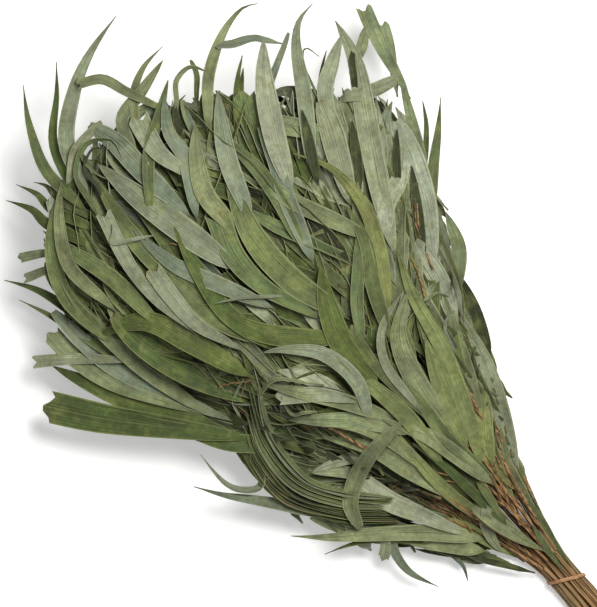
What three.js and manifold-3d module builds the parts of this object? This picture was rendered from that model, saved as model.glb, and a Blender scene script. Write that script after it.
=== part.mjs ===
// A tied bunch of dried willow eucalyptus, lying on its side.
// The cut stems are packed in rows inside a rubber band and fan out from it. Each stem ends in a leafy top, and
// the outermost stems of each row carry a side shoot lower down. Every branch keeps to its own layer of the
// heap, so that no two pieces touch. X runs from the cut ends to the leaf tips, Y across the fan, and Z up from
// the surface. Lengths are in millimetres.
import * as THREE from 'three';
import { mergeVertices } from 'three/addons/utils/BufferGeometryUtils.js';
import Module from 'manifold-3d';

const wasm = await Module();
wasm.setup();
const { lerp, smoothstep, degToRad } = THREE.MathUtils;

// Spacing.
const gap = 0.35; // between pieces that would touch
const finest = 0.15; // smallest detail that a solid keeps

// The tied bundle.
const bundleRows = [4, 5, 6, 5, 4]; // stems in each row, from the bottom up
const widestRow = Math.max(...bundleRows);
const stemPitch = 4.4; // between the middles of neighbouring stems
const stemDiameter = 4.0; // at the tie
const stemTopDiameter = 2.8; // where the leafy top begins
const stemSides = 8;
const cutLength = 72; // from the tie to the longest cut end
const shortestCut = 0.82; // share of that length
const cutSplay = 0.1; // how much the cut ends stand apart, as a share of the bundle's width
const rowRise = (stemPitch * Math.sqrt(3)) / 2;
const bundleHeight = (bundleRows.length - 1) * rowRise + stemDiameter;

// The rubber band.
const bandWidth = 3;
const bandThickness = 1.4;
const bandGap = 0.7; // between the band and the stems
const bundleMiddle = bundleHeight / 2 + bandGap + bandThickness; // height of the bundle's middle

// The fan and the heap that it makes.
const slopeRight = -0.37; // outermost stems: sideways run over forward run
const slopeLeft = 0.47;
const slopeMiddle = 0.08; // the fan leans to its left
const slopeVariation = 0.04;
const narrowRow = 0.06; // a row with one stem less starts and ends this much further in
const straightRun = 8; // from the tie to where the stems start to part
const liftOff = 90; // from the tie to where each stem has reached its layer of the heap
const bendLength = 55; // over which the stems turn from parallel to their slope
const heapTop = 112; // height of the heap over the surface
const swellLength = 320; // from the tie to where the heap has its full height
const fanHalfWidth = 230;
const edgeThinning = 0.38; // share of the height lost at the edge of the fan
const tipThinning = 0.22; // share of the height lost at the leaf tips
const tipRegion = [430, 590]; // where that happens, along X
const levels = 2 * bundleRows.length; // layers of the heap: neighbours in a row take turns

// Leafy tops and side shoots.
const longestReach = 470; // where the twig of the longest leafy top ends
const reachLoss = 560; // how fast the reach falls towards the edges of the fan
const reachVariation = 24;
const topStart = [190, 250]; // where the bare stem ends and its leafy top begins
const topGap = gap + 0.4; // between a stem's end and its leafy top
const shootStart = 104; // where the lowest side shoots begin
const shootStep = 12; // and how much further out the next rows' shoots begin
const shootLength = [120, 175];
const shootSlope = 0.2; // away from the stem
const twigDiameter = 2.4;
const twigTipShare = 0.6; // of the twig's diameter, at its tip
const twigSides = 6;
const twigStations = 7;

// Leaves.
const leafLength = [96, 142];
const leafWidth = [15, 23];
const leafThickness = 1.1;
const leafSweep = 16; // how far a sickle-shaped blade may bow to one side or the other, in all
const petioleWidth = 2.6;
const bladeStart = 0.1; // shares of a leaf's length: where its blade begins,
const fullest = 0.3; // is pulled to its widest,
const shoulder = 0.62; // and starts to run straight to its tip
const fullestShare = 1.25; // of half the leaf's width, at the point that pulls the outline out
const shoulderShare = 0.8; // of half the leaf's width
const leavesOnTop = 5;
const leavesOnShoot = 4;
const leafAngle = [16, 34]; // between a leaf and its twig, in degrees
const endLeafAngle = 4; // of the leaf at a twig's end, which carries on past it
const inwardAngle = 0.4; // share of that angle for a shoot's leaves on the side of its stem
const shootLeafSize = 0.85; // of a leaf on a leafy top
const leafRange = [0.1, 0.98]; // shares of the twig at the first leaf and the last

// The places that a leaf tries before it is given up.
const trials = 9;
const trialLifts = [0.5, -0.5, 0, 0.9, -0.9]; // of half a layer
const trialTurn = 0.07; // share of its angle that it gives up each time
const trialLength = 0.04; // share of its length that it gives up each time

const barkColour = 0x7a5c3c;
const bandColour = 0xb08a58;
const leafColours = [0x7d8a63, 0x8f9a7c, 0x66744a];

// A repeatable series of numbers from 0 to 1.
function series(seed) {
  let state = seed;
  return () => {
    state = (state + 0x6d2b79f5) | 0;
    let t = Math.imul(state ^ (state >>> 15), 1 | state);
    t = (t + Math.imul(t ^ (t >>> 7), 61 | t)) ^ t;
    return ((t ^ (t >>> 14)) >>> 0) / 4294967296;
  };
}
const chance = series(11);
const between = ([low, high]) => lerp(low, high, chance());

// Height of the heap at a point of the plan.
function heapHeight(x, y) {
  const swell = smoothstep(x, 0, swellLength);
  const dome = 1 - edgeThinning * swell * Math.min(1, (y / fanHalfWidth) ** 2);
  const crown = 1 - tipThinning * smoothstep(x, ...tipRegion);
  return lerp(2 * bundleMiddle, heapTop, swell) * dome * crown;
}

// Height of a layer's middle at a point of the plan; lift, from -1 to 1, moves it within the layer.
const layerHeight = (level, x, y, lift = 0) => (heapHeight(x, y) * (level + 0.5 + 0.4 * lift)) / levels;

// The sideways run of a stem of slope 1: none near the tie, and straight further out.
function spread(x) {
  const run = Math.max(0, x - straightRun);
  return (run * run) / (run + bendLength);
}

// The branches, row by row from the bottom, each from the right edge of the fan to the left.
const branches = bundleRows.flatMap((count, row) =>
  Array.from({ length: count }, (_, place) => {
    const share = place / (count - 1);
    const inset = narrowRow * (widestRow - count);
    const slope = lerp(slopeRight + inset, slopeLeft - inset, share) + (chance() - 0.5) * slopeVariation;
    return {
      row,
      place,
      slope,
      level: 2 * row + (place % 2),
      side: (place - (count - 1) / 2) * stemPitch,
      cut: -cutLength * lerp(shortestCut, 1, chance()),
      topStart: between(topStart),
      reach: longestReach - reachLoss * (slope - slopeMiddle) ** 2 - reachVariation * chance(),
    };
  }),
);

// A point of a branch's middle line.
function branchPoint(branch, x) {
  const y = branch.side * (1 + cutSplay * Math.max(0, -x / cutLength)) + branch.slope * spread(x);
  const packed = bundleMiddle + (branch.row - (bundleRows.length - 1) / 2) * rowRise;
  const layered = layerHeight(branch.level, x, y);
  return new THREE.Vector3(x, y, lerp(packed, layered, smoothstep(x, straightRun, liftOff)));
}

// A geometry as a manifold-3d solid.
function solidOf(geometry) {
  geometry.deleteAttribute('normal');
  geometry.deleteAttribute('uv');
  const merged = mergeVertices(geometry, 1e-4);
  return new wasm.Manifold(
    new wasm.Mesh({
      numProp: 3,
      vertProperties: merged.attributes.position.array,
      triVerts: new Uint32Array(merged.index.array),
    }),
  );
}

// A round tube along points, tapering from one diameter to the other.
function tube(points, startDiameter, endDiameter, sides) {
  const path = new THREE.CatmullRomCurve3(points);
  const section = new THREE.Shape(
    Array.from({ length: sides }, (_, i) => {
      const turn = (2 * Math.PI * i) / sides;
      return new THREE.Vector2(Math.cos(turn), Math.sin(turn)).multiplyScalar(startDiameter / 2);
    }),
  );
  const steps = points.length - 1;
  const geometry = new THREE.ExtrudeGeometry(section, { steps, extrudePath: path, bevelEnabled: false });
  const position = geometry.attributes.position;
  const stations = Array.from({ length: steps + 1 }, (_, i) => path.getPointAt(i / steps));
  const vertex = new THREE.Vector3();
  for (let i = 0; i < position.count; i += 1) {
    vertex.fromBufferAttribute(position, i);
    const distances = stations.map((station) => station.distanceTo(vertex));
    const nearest = distances.indexOf(Math.min(...distances));
    vertex.lerpVectors(stations[nearest], vertex, lerp(1, endDiameter / startDiameter, nearest / steps));
    position.setXYZ(i, vertex.x, vertex.y, vertex.z);
  }
  return solidOf(geometry);
}

// A leaf as a thin plate: a sickle-shaped outline, turned to its heading and draped over its layer.
function leaf({ base, heading, length, width, sweep, level, lift }, margin = 0) {
  const half = width / 2 + margin;
  const stalk = petioleWidth / 2 + margin;
  const end = length + margin;
  const outline = new THREE.Shape();
  outline.moveTo(-margin, -stalk);
  outline.lineTo(bladeStart * end, -stalk);
  const pull = fullestShare * half;
  const narrowing = shoulderShare * half;
  outline.quadraticCurveTo(fullest * end, sweep - pull, shoulder * end, sweep - narrowing);
  outline.lineTo(end, 0);
  outline.lineTo(shoulder * end, sweep + narrowing);
  outline.quadraticCurveTo(fullest * end, sweep + pull, bladeStart * end, stalk);
  outline.lineTo(-margin, stalk);
  const geometry = new THREE.ExtrudeGeometry(outline, { depth: 1, bevelEnabled: false, curveSegments: 2 });
  const position = geometry.attributes.position;
  const [ahead, across] = [Math.cos(heading), Math.sin(heading)];
  const thickness = leafThickness + 2 * margin;
  for (let i = 0; i < position.count; i += 1) {
    const [along, aside] = [position.getX(i), position.getY(i)];
    const x = base.x + along * ahead - aside * across;
    const y = base.y + along * across + aside * ahead;
    const rise = lift * smoothstep(along, 0, 0.4 * length);
    position.setXYZ(i, x, y, layerHeight(level, x, y, rise) + (position.getZ(i) - 0.5) * thickness);
  }
  return solidOf(geometry);
}

// True if a solid's box meets another's.
function boxesMeet(a, b) {
  return [0, 1, 2].every((axis) => a.min[axis] < b.max[axis] && b.min[axis] < a.max[axis]);
}

const pieces = new Map(); // node name to {solid, box, colour}

function keep(name, solid, colour) {
  pieces.set(name, { solid, box: solid.boundingBox(), colour });
}

// True if a solid meets any piece but its own.
function meets(solid, ownName) {
  const box = solid.boundingBox();
  return [...pieces].some(
    ([name, piece]) =>
      name !== ownName && boxesMeet(box, piece.box) && !solid.intersect(piece.solid).isEmpty(),
  );
}

// Shares of the stem ahead of the tie at which its line is set.
const stemStations = [0, 0.12, 0.3, 0.5, 0.75, 1];

function addStem(branch, name) {
  const ahead = stemStations.map((share) => lerp(straightRun, branch.topStart, share));
  const points = [branch.cut, branch.cut / 2, 0, ...ahead].map((x) => branchPoint(branch, x));
  keep(name, tube(points, stemDiameter, stemTopDiameter, stemSides), barkColour);
}

// A twig with its leaves to come: its line is a function of the share of its length.
function addTwig(name, line, level) {
  const points = Array.from({ length: twigStations }, (_, i) => line(i / (twigStations - 1)));
  const solid = tube(points, twigDiameter, twigTipShare * twigDiameter, twigSides);
  keep(name, solid, leafColours[level % leafColours.length]);
  return { name, line, level };
}

// Puts one leaf on a twig, trying other lifts, headings and lengths until it is clear of the other pieces.
function addLeaf(twig, share, turn, length) {
  const base = twig.line(share);
  const before = twig.line(share - 0.02);
  const along = Math.atan2(base.y - before.y, base.x - before.x);
  const width = between(leafWidth);
  const sweep = (chance() - 0.5) * leafSweep;
  for (let trial = 0; trial < trials; trial += 1) {
    const spec = {
      base,
      level: twig.level,
      heading: along + degToRad(turn * (1 - trialTurn * trial)),
      length: length * (1 - trialLength * trial),
      width,
      sweep,
      lift: trialLifts[trial % trialLifts.length],
    };
    if (!meets(leaf(spec, gap), twig.name)) {
      const piece = pieces.get(twig.name);
      keep(twig.name, piece.solid.add(leaf(spec)), piece.colour);
      return;
    }
  }
}

const number = (i) => String(i + 1).padStart(2, '0');

branches.forEach((branch, i) => addStem(branch, `stem_${number(i)}`));

// The leafy top of each branch carries on from its stem.
const tops = branches.map((branch, i) => {
  const line = (share) => branchPoint(branch, lerp(branch.topStart + topGap, branch.reach, share));
  return addTwig(`leafy_top_${number(i)}`, line, branch.level);
});

// Side shoots leave the outermost stems of each row, on the side away from the fan.
const shootHosts = branches.filter(({ row, place }) => place === 0 || place === bundleRows[row] - 1);
const shoots = shootHosts.map((branch, i) => {
  const away = branch.place === 0 ? -1 : 1;
  const start = shootStart + shootStep * (branch.row % 3);
  const run = between(shootLength);
  const clear = (stemDiameter + twigDiameter) / 2 + gap;
  const line = (share) => {
    const x = start + run * share;
    const y = branchPoint(branch, x).y + away * (clear + shootSlope * run * share);
    return new THREE.Vector3(x, y, layerHeight(branch.level, x, y));
  };
  return { ...addTwig(`side_shoot_${number(i)}`, line, branch.level), away };
});

// Leaves alternate along each twig, and the last one on a leafy top carries on past its end.
const leafShare = (i, count) => lerp(...leafRange, i / (count - 1));
tops.forEach((twig) => {
  for (let i = 0; i < leavesOnTop; i += 1) {
    const side = i % 2 ? 1 : -1;
    const angle = i === leavesOnTop - 1 ? endLeafAngle : between(leafAngle);
    addLeaf(twig, leafShare(i, leavesOnTop), side * angle, between(leafLength));
  }
});
shoots.forEach((twig) => {
  for (let i = 0; i < leavesOnShoot; i += 1) {
    const side = i % 2 ? -inwardAngle * twig.away : twig.away;
    const angle = side * between(leafAngle);
    addLeaf(twig, leafShare(i, leavesOnShoot), angle, shootLeafSize * between(leafLength));
  }
});

// The rubber band: a loop that hugs the bundle, straight along its six sides and round at its six corners.
function rubberBand() {
  const halfWide = ((widestRow - 1) * stemPitch) / 2;
  const halfHigh = ((bundleRows.length - 1) * rowRise) / 2;
  const narrowShare = (bundleRows[0] - 1) / (widestRow - 1);
  const hug = (path, radius) => {
    for (let corner = 0; corner < 6; corner += 1) {
      const turn = (corner * Math.PI) / 3;
      const across = Math.sign(Math.cos(turn)) * halfWide * (corner % 3 ? narrowShare : 1);
      const up = Math.sign(Math.round(2 * Math.sin(turn))) * halfHigh;
      path.absarc(across, up, radius, turn - Math.PI / 6, turn + Math.PI / 6);
    }
    return path;
  };
  const inner = stemDiameter / 2 + bandGap;
  const outline = hug(new THREE.Shape(), inner + bandThickness);
  outline.holes.push(hug(new THREE.Path(), inner));
  const geometry = new THREE.ExtrudeGeometry(outline, { depth: bandWidth, bevelEnabled: false, curveSegments: 3 });
  geometry.rotateX(Math.PI / 2).rotateZ(Math.PI / 2);
  return geometry.translate(-bandWidth / 2, 0, bundleMiddle);
}
keep('tie_band', solidOf(rubberBand()), bandColour);

// A solid as a three.js mesh with its own material.
function meshOf(name, { solid, colour }) {
  const { numProp, vertProperties, triVerts } = solid.simplify(finest).getMesh();
  const geometry = new THREE.BufferGeometry();
  const corners = new Float32Array((vertProperties.length / numProp) * 3);
  for (let i = 0; i < corners.length / 3; i += 1) {
    corners.set(vertProperties.subarray(i * numProp, i * numProp + 3), i * 3);
  }
  geometry.setAttribute('position', new THREE.BufferAttribute(corners, 3));
  geometry.setIndex(new THREE.BufferAttribute(triVerts, 1));
  geometry.computeVertexNormals();
  const material = new THREE.MeshStandardMaterial({ color: colour, roughness: 0.7, metalness: 0 });
  const mesh = new THREE.Mesh(geometry, material);
  mesh.name = name;
  return mesh;
}

const bunch = new THREE.Group();
pieces.forEach((piece, name) => bunch.add(meshOf(name, piece)));

// The origin is at the middle of the bunch's footprint, on the surface.
const extent = new THREE.Box3().setFromObject(bunch);
const middle = extent.getCenter(new THREE.Vector3());
bunch.position.set(-middle.x, -middle.y, -extent.min.z);

export default bunch;
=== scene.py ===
"""A tied bunch of dried willow eucalyptus, lying on its side on a pale floor.

The bunch is laid out in coordinates of its own, in millimetres: the tie is at the origin, X runs out to the
leaf tips, Y across the fan and Z up from the surface. Each sub-assembly moves what it made into the frame, in
metres.
"""
import logging
import math
import random
from collections.abc import Callable, Iterable
from dataclasses import dataclass
from enum import Enum

import bmesh
import bpy
from mathutils import Matrix, Vector


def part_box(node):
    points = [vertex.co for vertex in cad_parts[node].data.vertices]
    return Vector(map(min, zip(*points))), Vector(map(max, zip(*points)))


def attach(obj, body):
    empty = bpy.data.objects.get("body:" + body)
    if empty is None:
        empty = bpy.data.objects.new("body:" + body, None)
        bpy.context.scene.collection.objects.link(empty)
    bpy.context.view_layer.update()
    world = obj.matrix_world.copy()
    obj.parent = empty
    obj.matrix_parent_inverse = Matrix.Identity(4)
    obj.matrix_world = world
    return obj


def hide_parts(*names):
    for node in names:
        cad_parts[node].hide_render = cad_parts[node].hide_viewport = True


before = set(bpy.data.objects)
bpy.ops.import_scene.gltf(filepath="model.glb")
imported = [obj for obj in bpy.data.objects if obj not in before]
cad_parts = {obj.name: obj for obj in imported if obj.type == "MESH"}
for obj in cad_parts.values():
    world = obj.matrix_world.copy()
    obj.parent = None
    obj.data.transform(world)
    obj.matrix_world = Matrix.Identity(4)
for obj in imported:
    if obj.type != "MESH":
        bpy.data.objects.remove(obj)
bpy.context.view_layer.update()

LOG = logging.getLogger("eucalyptus")
MM = 0.001
UP = Vector((0.0, 0.0, 1.0))

Span = tuple[float, float]
Point = tuple[float, float]
Colour = tuple[float, float, float]


# ----------------------------------------------------------------------------------------------------------
# Numbers and lines


def lerp(low: float, high: float, share: float) -> float:
    """Returns the number at a share of the way from low to high."""
    return low + (high - low) * share


def smooth(value: float, low: float, high: float) -> float:
    """Returns a smooth step from 0 below low to 1 above high."""
    share = min(1.0, max(0.0, (value - low) / (high - low)))
    return share * share * (3.0 - 2.0 * share)


def linear(red: float, green: float, blue: float) -> Colour:
    """Turns a colour as a screen shows it, from 0 to 255, into the light that it stands for.

    Args:
        red: The red share.
        green: The green share.
        blue: The blue share.

    Returns:
        The same colour in scene-linear shares from 0 to 1.
    """
    shares = (channel / 255.0 for channel in (red, green, blue))
    return tuple(s / 12.92 if s <= 0.04045 else ((s + 0.055) / 1.055) ** 2.4 for s in shares)


def along(points: list[Vector], share: float) -> Vector:
    """Finds a point of the smooth line through points.

    Args:
        points: What the line is led through, at least two.
        share: How far along the line, from 0 to 1, counted in stretches between points.

    Returns:
        The point on the line.
    """
    last = len(points) - 1
    place = min(share * last, last - 1e-6)
    i = int(place)
    t = place - i
    a, b = points[max(i - 1, 0)], points[i]
    c, d = points[i + 1], points[min(i + 2, last)]
    return 0.5 * (
        2.0 * b + (c - a) * t + (2.0 * a - 5.0 * b + 4.0 * c - d) * t**2 + (3.0 * b - a - 3.0 * c + d) * t**3
    )


def stations(points: list[Vector], count: int) -> list[Vector]:
    """Spaces points evenly along the smooth line through the given ones.

    Args:
        points: What the line is led through.
        count: How many stretches the line is divided into.

    Returns:
        One more point than there are stretches.
    """
    fine = [along(points, i / (6 * count)) for i in range(6 * count + 1)]
    runs = [0.0]
    for before, after in zip(fine, fine[1:]):
        runs.append(runs[-1] + (after - before).length)
    line, i = [], 0
    for k in range(count + 1):
        goal = runs[-1] * k / count
        while i < len(runs) - 2 and runs[i + 1] < goal:
            i += 1
        step = max(runs[i + 1] - runs[i], 1e-9)
        line.append(fine[i].lerp(fine[i + 1], min(1.0, max(0.0, (goal - runs[i]) / step))))
    return line


# ----------------------------------------------------------------------------------------------------------
# The layout of the bunch


@dataclass(frozen=True)
class Heap:
    """How the lying bunch heaps up: its height over the surface, and the layers that its branches keep to."""

    bundle_middle: float
    top: float = 112.0
    swell_length: float = 320.0
    half_width: float = 230.0
    edge_thinning: float = 0.38
    tip_thinning: float = 0.22
    tip_region: Span = (430.0, 590.0)
    levels: int = 10
    straight_run: float = 8.0
    bend_length: float = 55.0
    middle_slope: float = 0.05
    crown_slopes: Span = (0.28, 0.5)
    edge_level: float = 0.62

    def height(self, x: float, y: float) -> float:
        """Works out how high the heap is.

        Args:
            x: How far along the bunch the point is.
            y: How far across the fan it is.

        Returns:
            The height of the heap there.
        """
        swell = smooth(x, 0.0, self.swell_length)
        dome = 1.0 - self.edge_thinning * swell * min(1.0, (y / self.half_width) ** 2)
        crown = 1.0 - self.tip_thinning * smooth(x, *self.tip_region)
        return lerp(2.0 * self.bundle_middle, self.top, swell) * dome * crown

    def layer(self, level: float, x: float, y: float, lift: float = 0.0) -> float:
        """Returns the height of a layer's middle, moved within the layer by a lift from -1 to 1."""
        return self.height(x, y) * (level + 0.5 + 0.4 * lift) / self.levels

    def spread(self, x: float) -> float:
        """Returns the sideways run of a stem of slope 1 at a distance from the tie."""
        run = max(0.0, x - self.straight_run)
        return run * run / (run + self.bend_length)

    def surface(self, x: float, y: float) -> float:
        """Works out how high the topmost leaves lie, which is lower along both edges of the fan.

        Args:
            x: How far along the bunch the point is.
            y: How far across the fan it is.

        Returns:
            The height of the topmost leaves there.
        """
        slope = abs(y / max(self.spread(x), 30.0) - self.middle_slope)
        share = lerp(0.97, self.edge_level, smooth(slope, *self.crown_slopes))
        return self.height(x, y) * share


@dataclass(frozen=True)
class Outline:
    """The rim of the fan in the plan, past which only a few placed leaves reach."""

    corners: tuple[Point, ...] = (
        (-80, -22), (0, -16), (60, -20), (100, -30), (140, -49), (180, -67), (240, -86), (290, -108),
        (340, -135), (385, -141), (404, -134), (420, -118), (436, -98), (452, -74), (466, -56), (484, -38),
        (496, -16), (508, 4), (514, 34), (514, 58), (518, 84), (514, 108), (500, 126), (478, 147), (450, 162),
        (410, 176), (370, 184), (330, 177), (290, 156), (250, 134), (215, 134), (180, 129), (150, 119),
        (120, 97), (90, 76), (60, 52), (30, 24), (0, 16), (-80, 20),
    )

    def holds(self, x: float, y: float) -> bool:
        """Tells whether a point of the plan lies inside the rim.

        Args:
            x: How far along the bunch the point is.
            y: How far across the fan it is.

        Returns:
            Whether it lies inside.
        """
        inside = False
        for (ax, ay), (bx, by) in zip(self.corners, self.corners[1:] + self.corners[:1]):
            if (ay > y) != (by > y) and x < ax + (bx - ax) * (y - ay) / (by - ay):
                inside = not inside
        return inside


OUTLINE = Outline()


@dataclass(frozen=True)
class Current:
    """The way that the leaves lie at one point of the plan, in degrees from X towards Y."""

    x: float
    y: float
    heading: float


CURRENTS = (
    Current(40, 0, 0), Current(60, 30, 38), Current(100, 62, 46), Current(140, 100, 48), Current(110, 28, 24),
    Current(110, -28, -22), Current(170, 116, 30), Current(210, 126, 8), Current(250, 118, -8),
    Current(285, 100, -25), Current(160, 65, 40), Current(210, 60, 48), Current(262, 60, 42),
    Current(170, 10, 6), Current(240, 15, 2), Current(170, -32, -24), Current(215, -62, -26),
    Current(250, -32, -38),
    Current(280, 150, 42), Current(330, 185, 42), Current(370, 200, 36), Current(330, 130, 24),
    Current(380, 150, 16), Current(430, 160, 4), Current(470, 145, -14), Current(320, 80, 16),
    Current(400, 90, 4), Current(470, 95, -8), Current(510, 105, -26), Current(520, 80, -45),
    Current(330, 30, 8), Current(400, 40, 2), Current(470, 50, 4), Current(510, 55, -24),
    Current(520, 5, -60), Current(330, -10, -8), Current(400, -10, -14), Current(460, -25, -24),
    Current(500, -40, -42),
    Current(508, -80, -72), Current(290, -60, -30), Current(340, -80, -34), Current(400, -60, -24),
    Current(450, -85, -34), Current(400, -120, -26), Current(450, -140, -22), Current(330, -130, -34),
    Current(480, -112, -50),
)


# How far a current's own place keeps its say, as a squared length, and how fast its say falls off past that.
CURRENT_CORE = 150.0
CURRENT_FALLOFF = 1.6


def heading_at(x: float, y: float) -> float:
    """Blends the currents into the way that the leaves lie at a point of the plan.

    Args:
        x: How far along the bunch the point is.
        y: How far across the fan it is.

    Returns:
        The heading, in radians from the bunch's own line.
    """
    east = north = 0.0
    for current in CURRENTS:
        weight = 1.0 / ((current.x - x) ** 2 + (current.y - y) ** 2 + CURRENT_CORE) ** CURRENT_FALLOFF
        east += weight * math.cos(math.radians(current.heading))
        north += weight * math.sin(math.radians(current.heading))
    return math.atan2(north, east)


@dataclass(frozen=True)
class Branch:
    """One stem of the bundle with the line that it and its leafy top follow."""

    number: int
    row: int
    level: int
    side: float
    packed_height: float
    slope: float
    cut: float
    top_start: float
    reach: float
    heap: Heap
    outermost: int
    lift_off: float = 90.0
    cut_splay: float = 0.1
    longest_cut: float = 72.0

    def point(self, x: float) -> Vector:
        """Follows the branch's middle line.

        Args:
            x: How far from the tie the point is, along the bunch.

        Returns:
            The point of the line.
        """
        splay = 1.0 + self.cut_splay * max(0.0, -x / self.longest_cut)
        y = self.side * splay + self.slope * self.heap.spread(x)
        layered = self.heap.layer(self.level, x, y)
        height = lerp(self.packed_height, layered, smooth(x, self.heap.straight_run, self.lift_off))
        return Vector((x, y, height))

    def heading(self, x: float) -> float:
        """Returns the branch's direction in the plan, in radians from X towards Y."""
        step = self.point(x + 1.0) - self.point(x - 1.0)
        return math.atan2(step.y, step.x)


@dataclass(frozen=True)
class Layout:
    """Where the stems stand in the bundle, read from the frame."""

    rows: tuple[int, ...] = (4, 5, 6, 5, 4)
    pitch: float = 4.4
    stem_diameter: float = 4.0
    stem_top_diameter: float = 2.8
    longest_reach: float = 462.0
    reach_loss: float = 560.0
    reach_middle: float = 0.08

    @property
    def row_rise(self) -> float:
        """Returns the height from one row of stems to the next."""
        return self.pitch * math.sqrt(3.0) / 2.0

    def tie(self) -> Vector:
        """Returns the middle of the band in the frame, in metres, which is the bunch's origin in the plan."""
        low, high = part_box("tie_band")
        return (Vector(low) + Vector(high)) / 2.0

    def to_frame(self) -> Matrix:
        """Returns the move from the bunch's own millimetres to the frame's metres."""
        tie = self.tie()
        return Matrix.Translation((tie.x, tie.y, 0.0)) @ Matrix.Scale(MM, 4)

    def branches(self) -> list[Branch]:
        """Reads each stem's place, slope and ends from its box in the frame.

        Returns:
            The branches, row by row from the bottom, each row from the right edge of the fan to the left.
        """
        tie = self.tie()
        heap = Heap(bundle_middle=tie.z / MM)
        found = []
        for row, count in enumerate(self.rows):
            for place in range(count):
                number = len(found) + 1
                low, high = ((Vector(corner) - tie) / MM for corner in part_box(f"stem_{number:02d}"))
                side = (place - (count - 1) / 2.0) * self.pitch
                thick = self.stem_top_diameter / 2.0
                leftward = high.y - side > side - low.y
                far = high.y - thick if leftward else low.y + thick
                slope = (far - side) / heap.spread(high.x)
                found.append(
                    Branch(
                        number=number,
                        row=row,
                        level=2 * row + place % 2,
                        side=side,
                        packed_height=heap.bundle_middle + (row - (len(self.rows) - 1) / 2.0) * self.row_rise,
                        slope=slope,
                        cut=low.x,
                        top_start=high.x,
                        reach=self.longest_reach - self.reach_loss * (slope - self.reach_middle) ** 2,
                        heap=heap,
                        outermost=-1 if place == 0 else int(place == count - 1),
                    )
                )
        return found


# ----------------------------------------------------------------------------------------------------------
# Finishes


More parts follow.
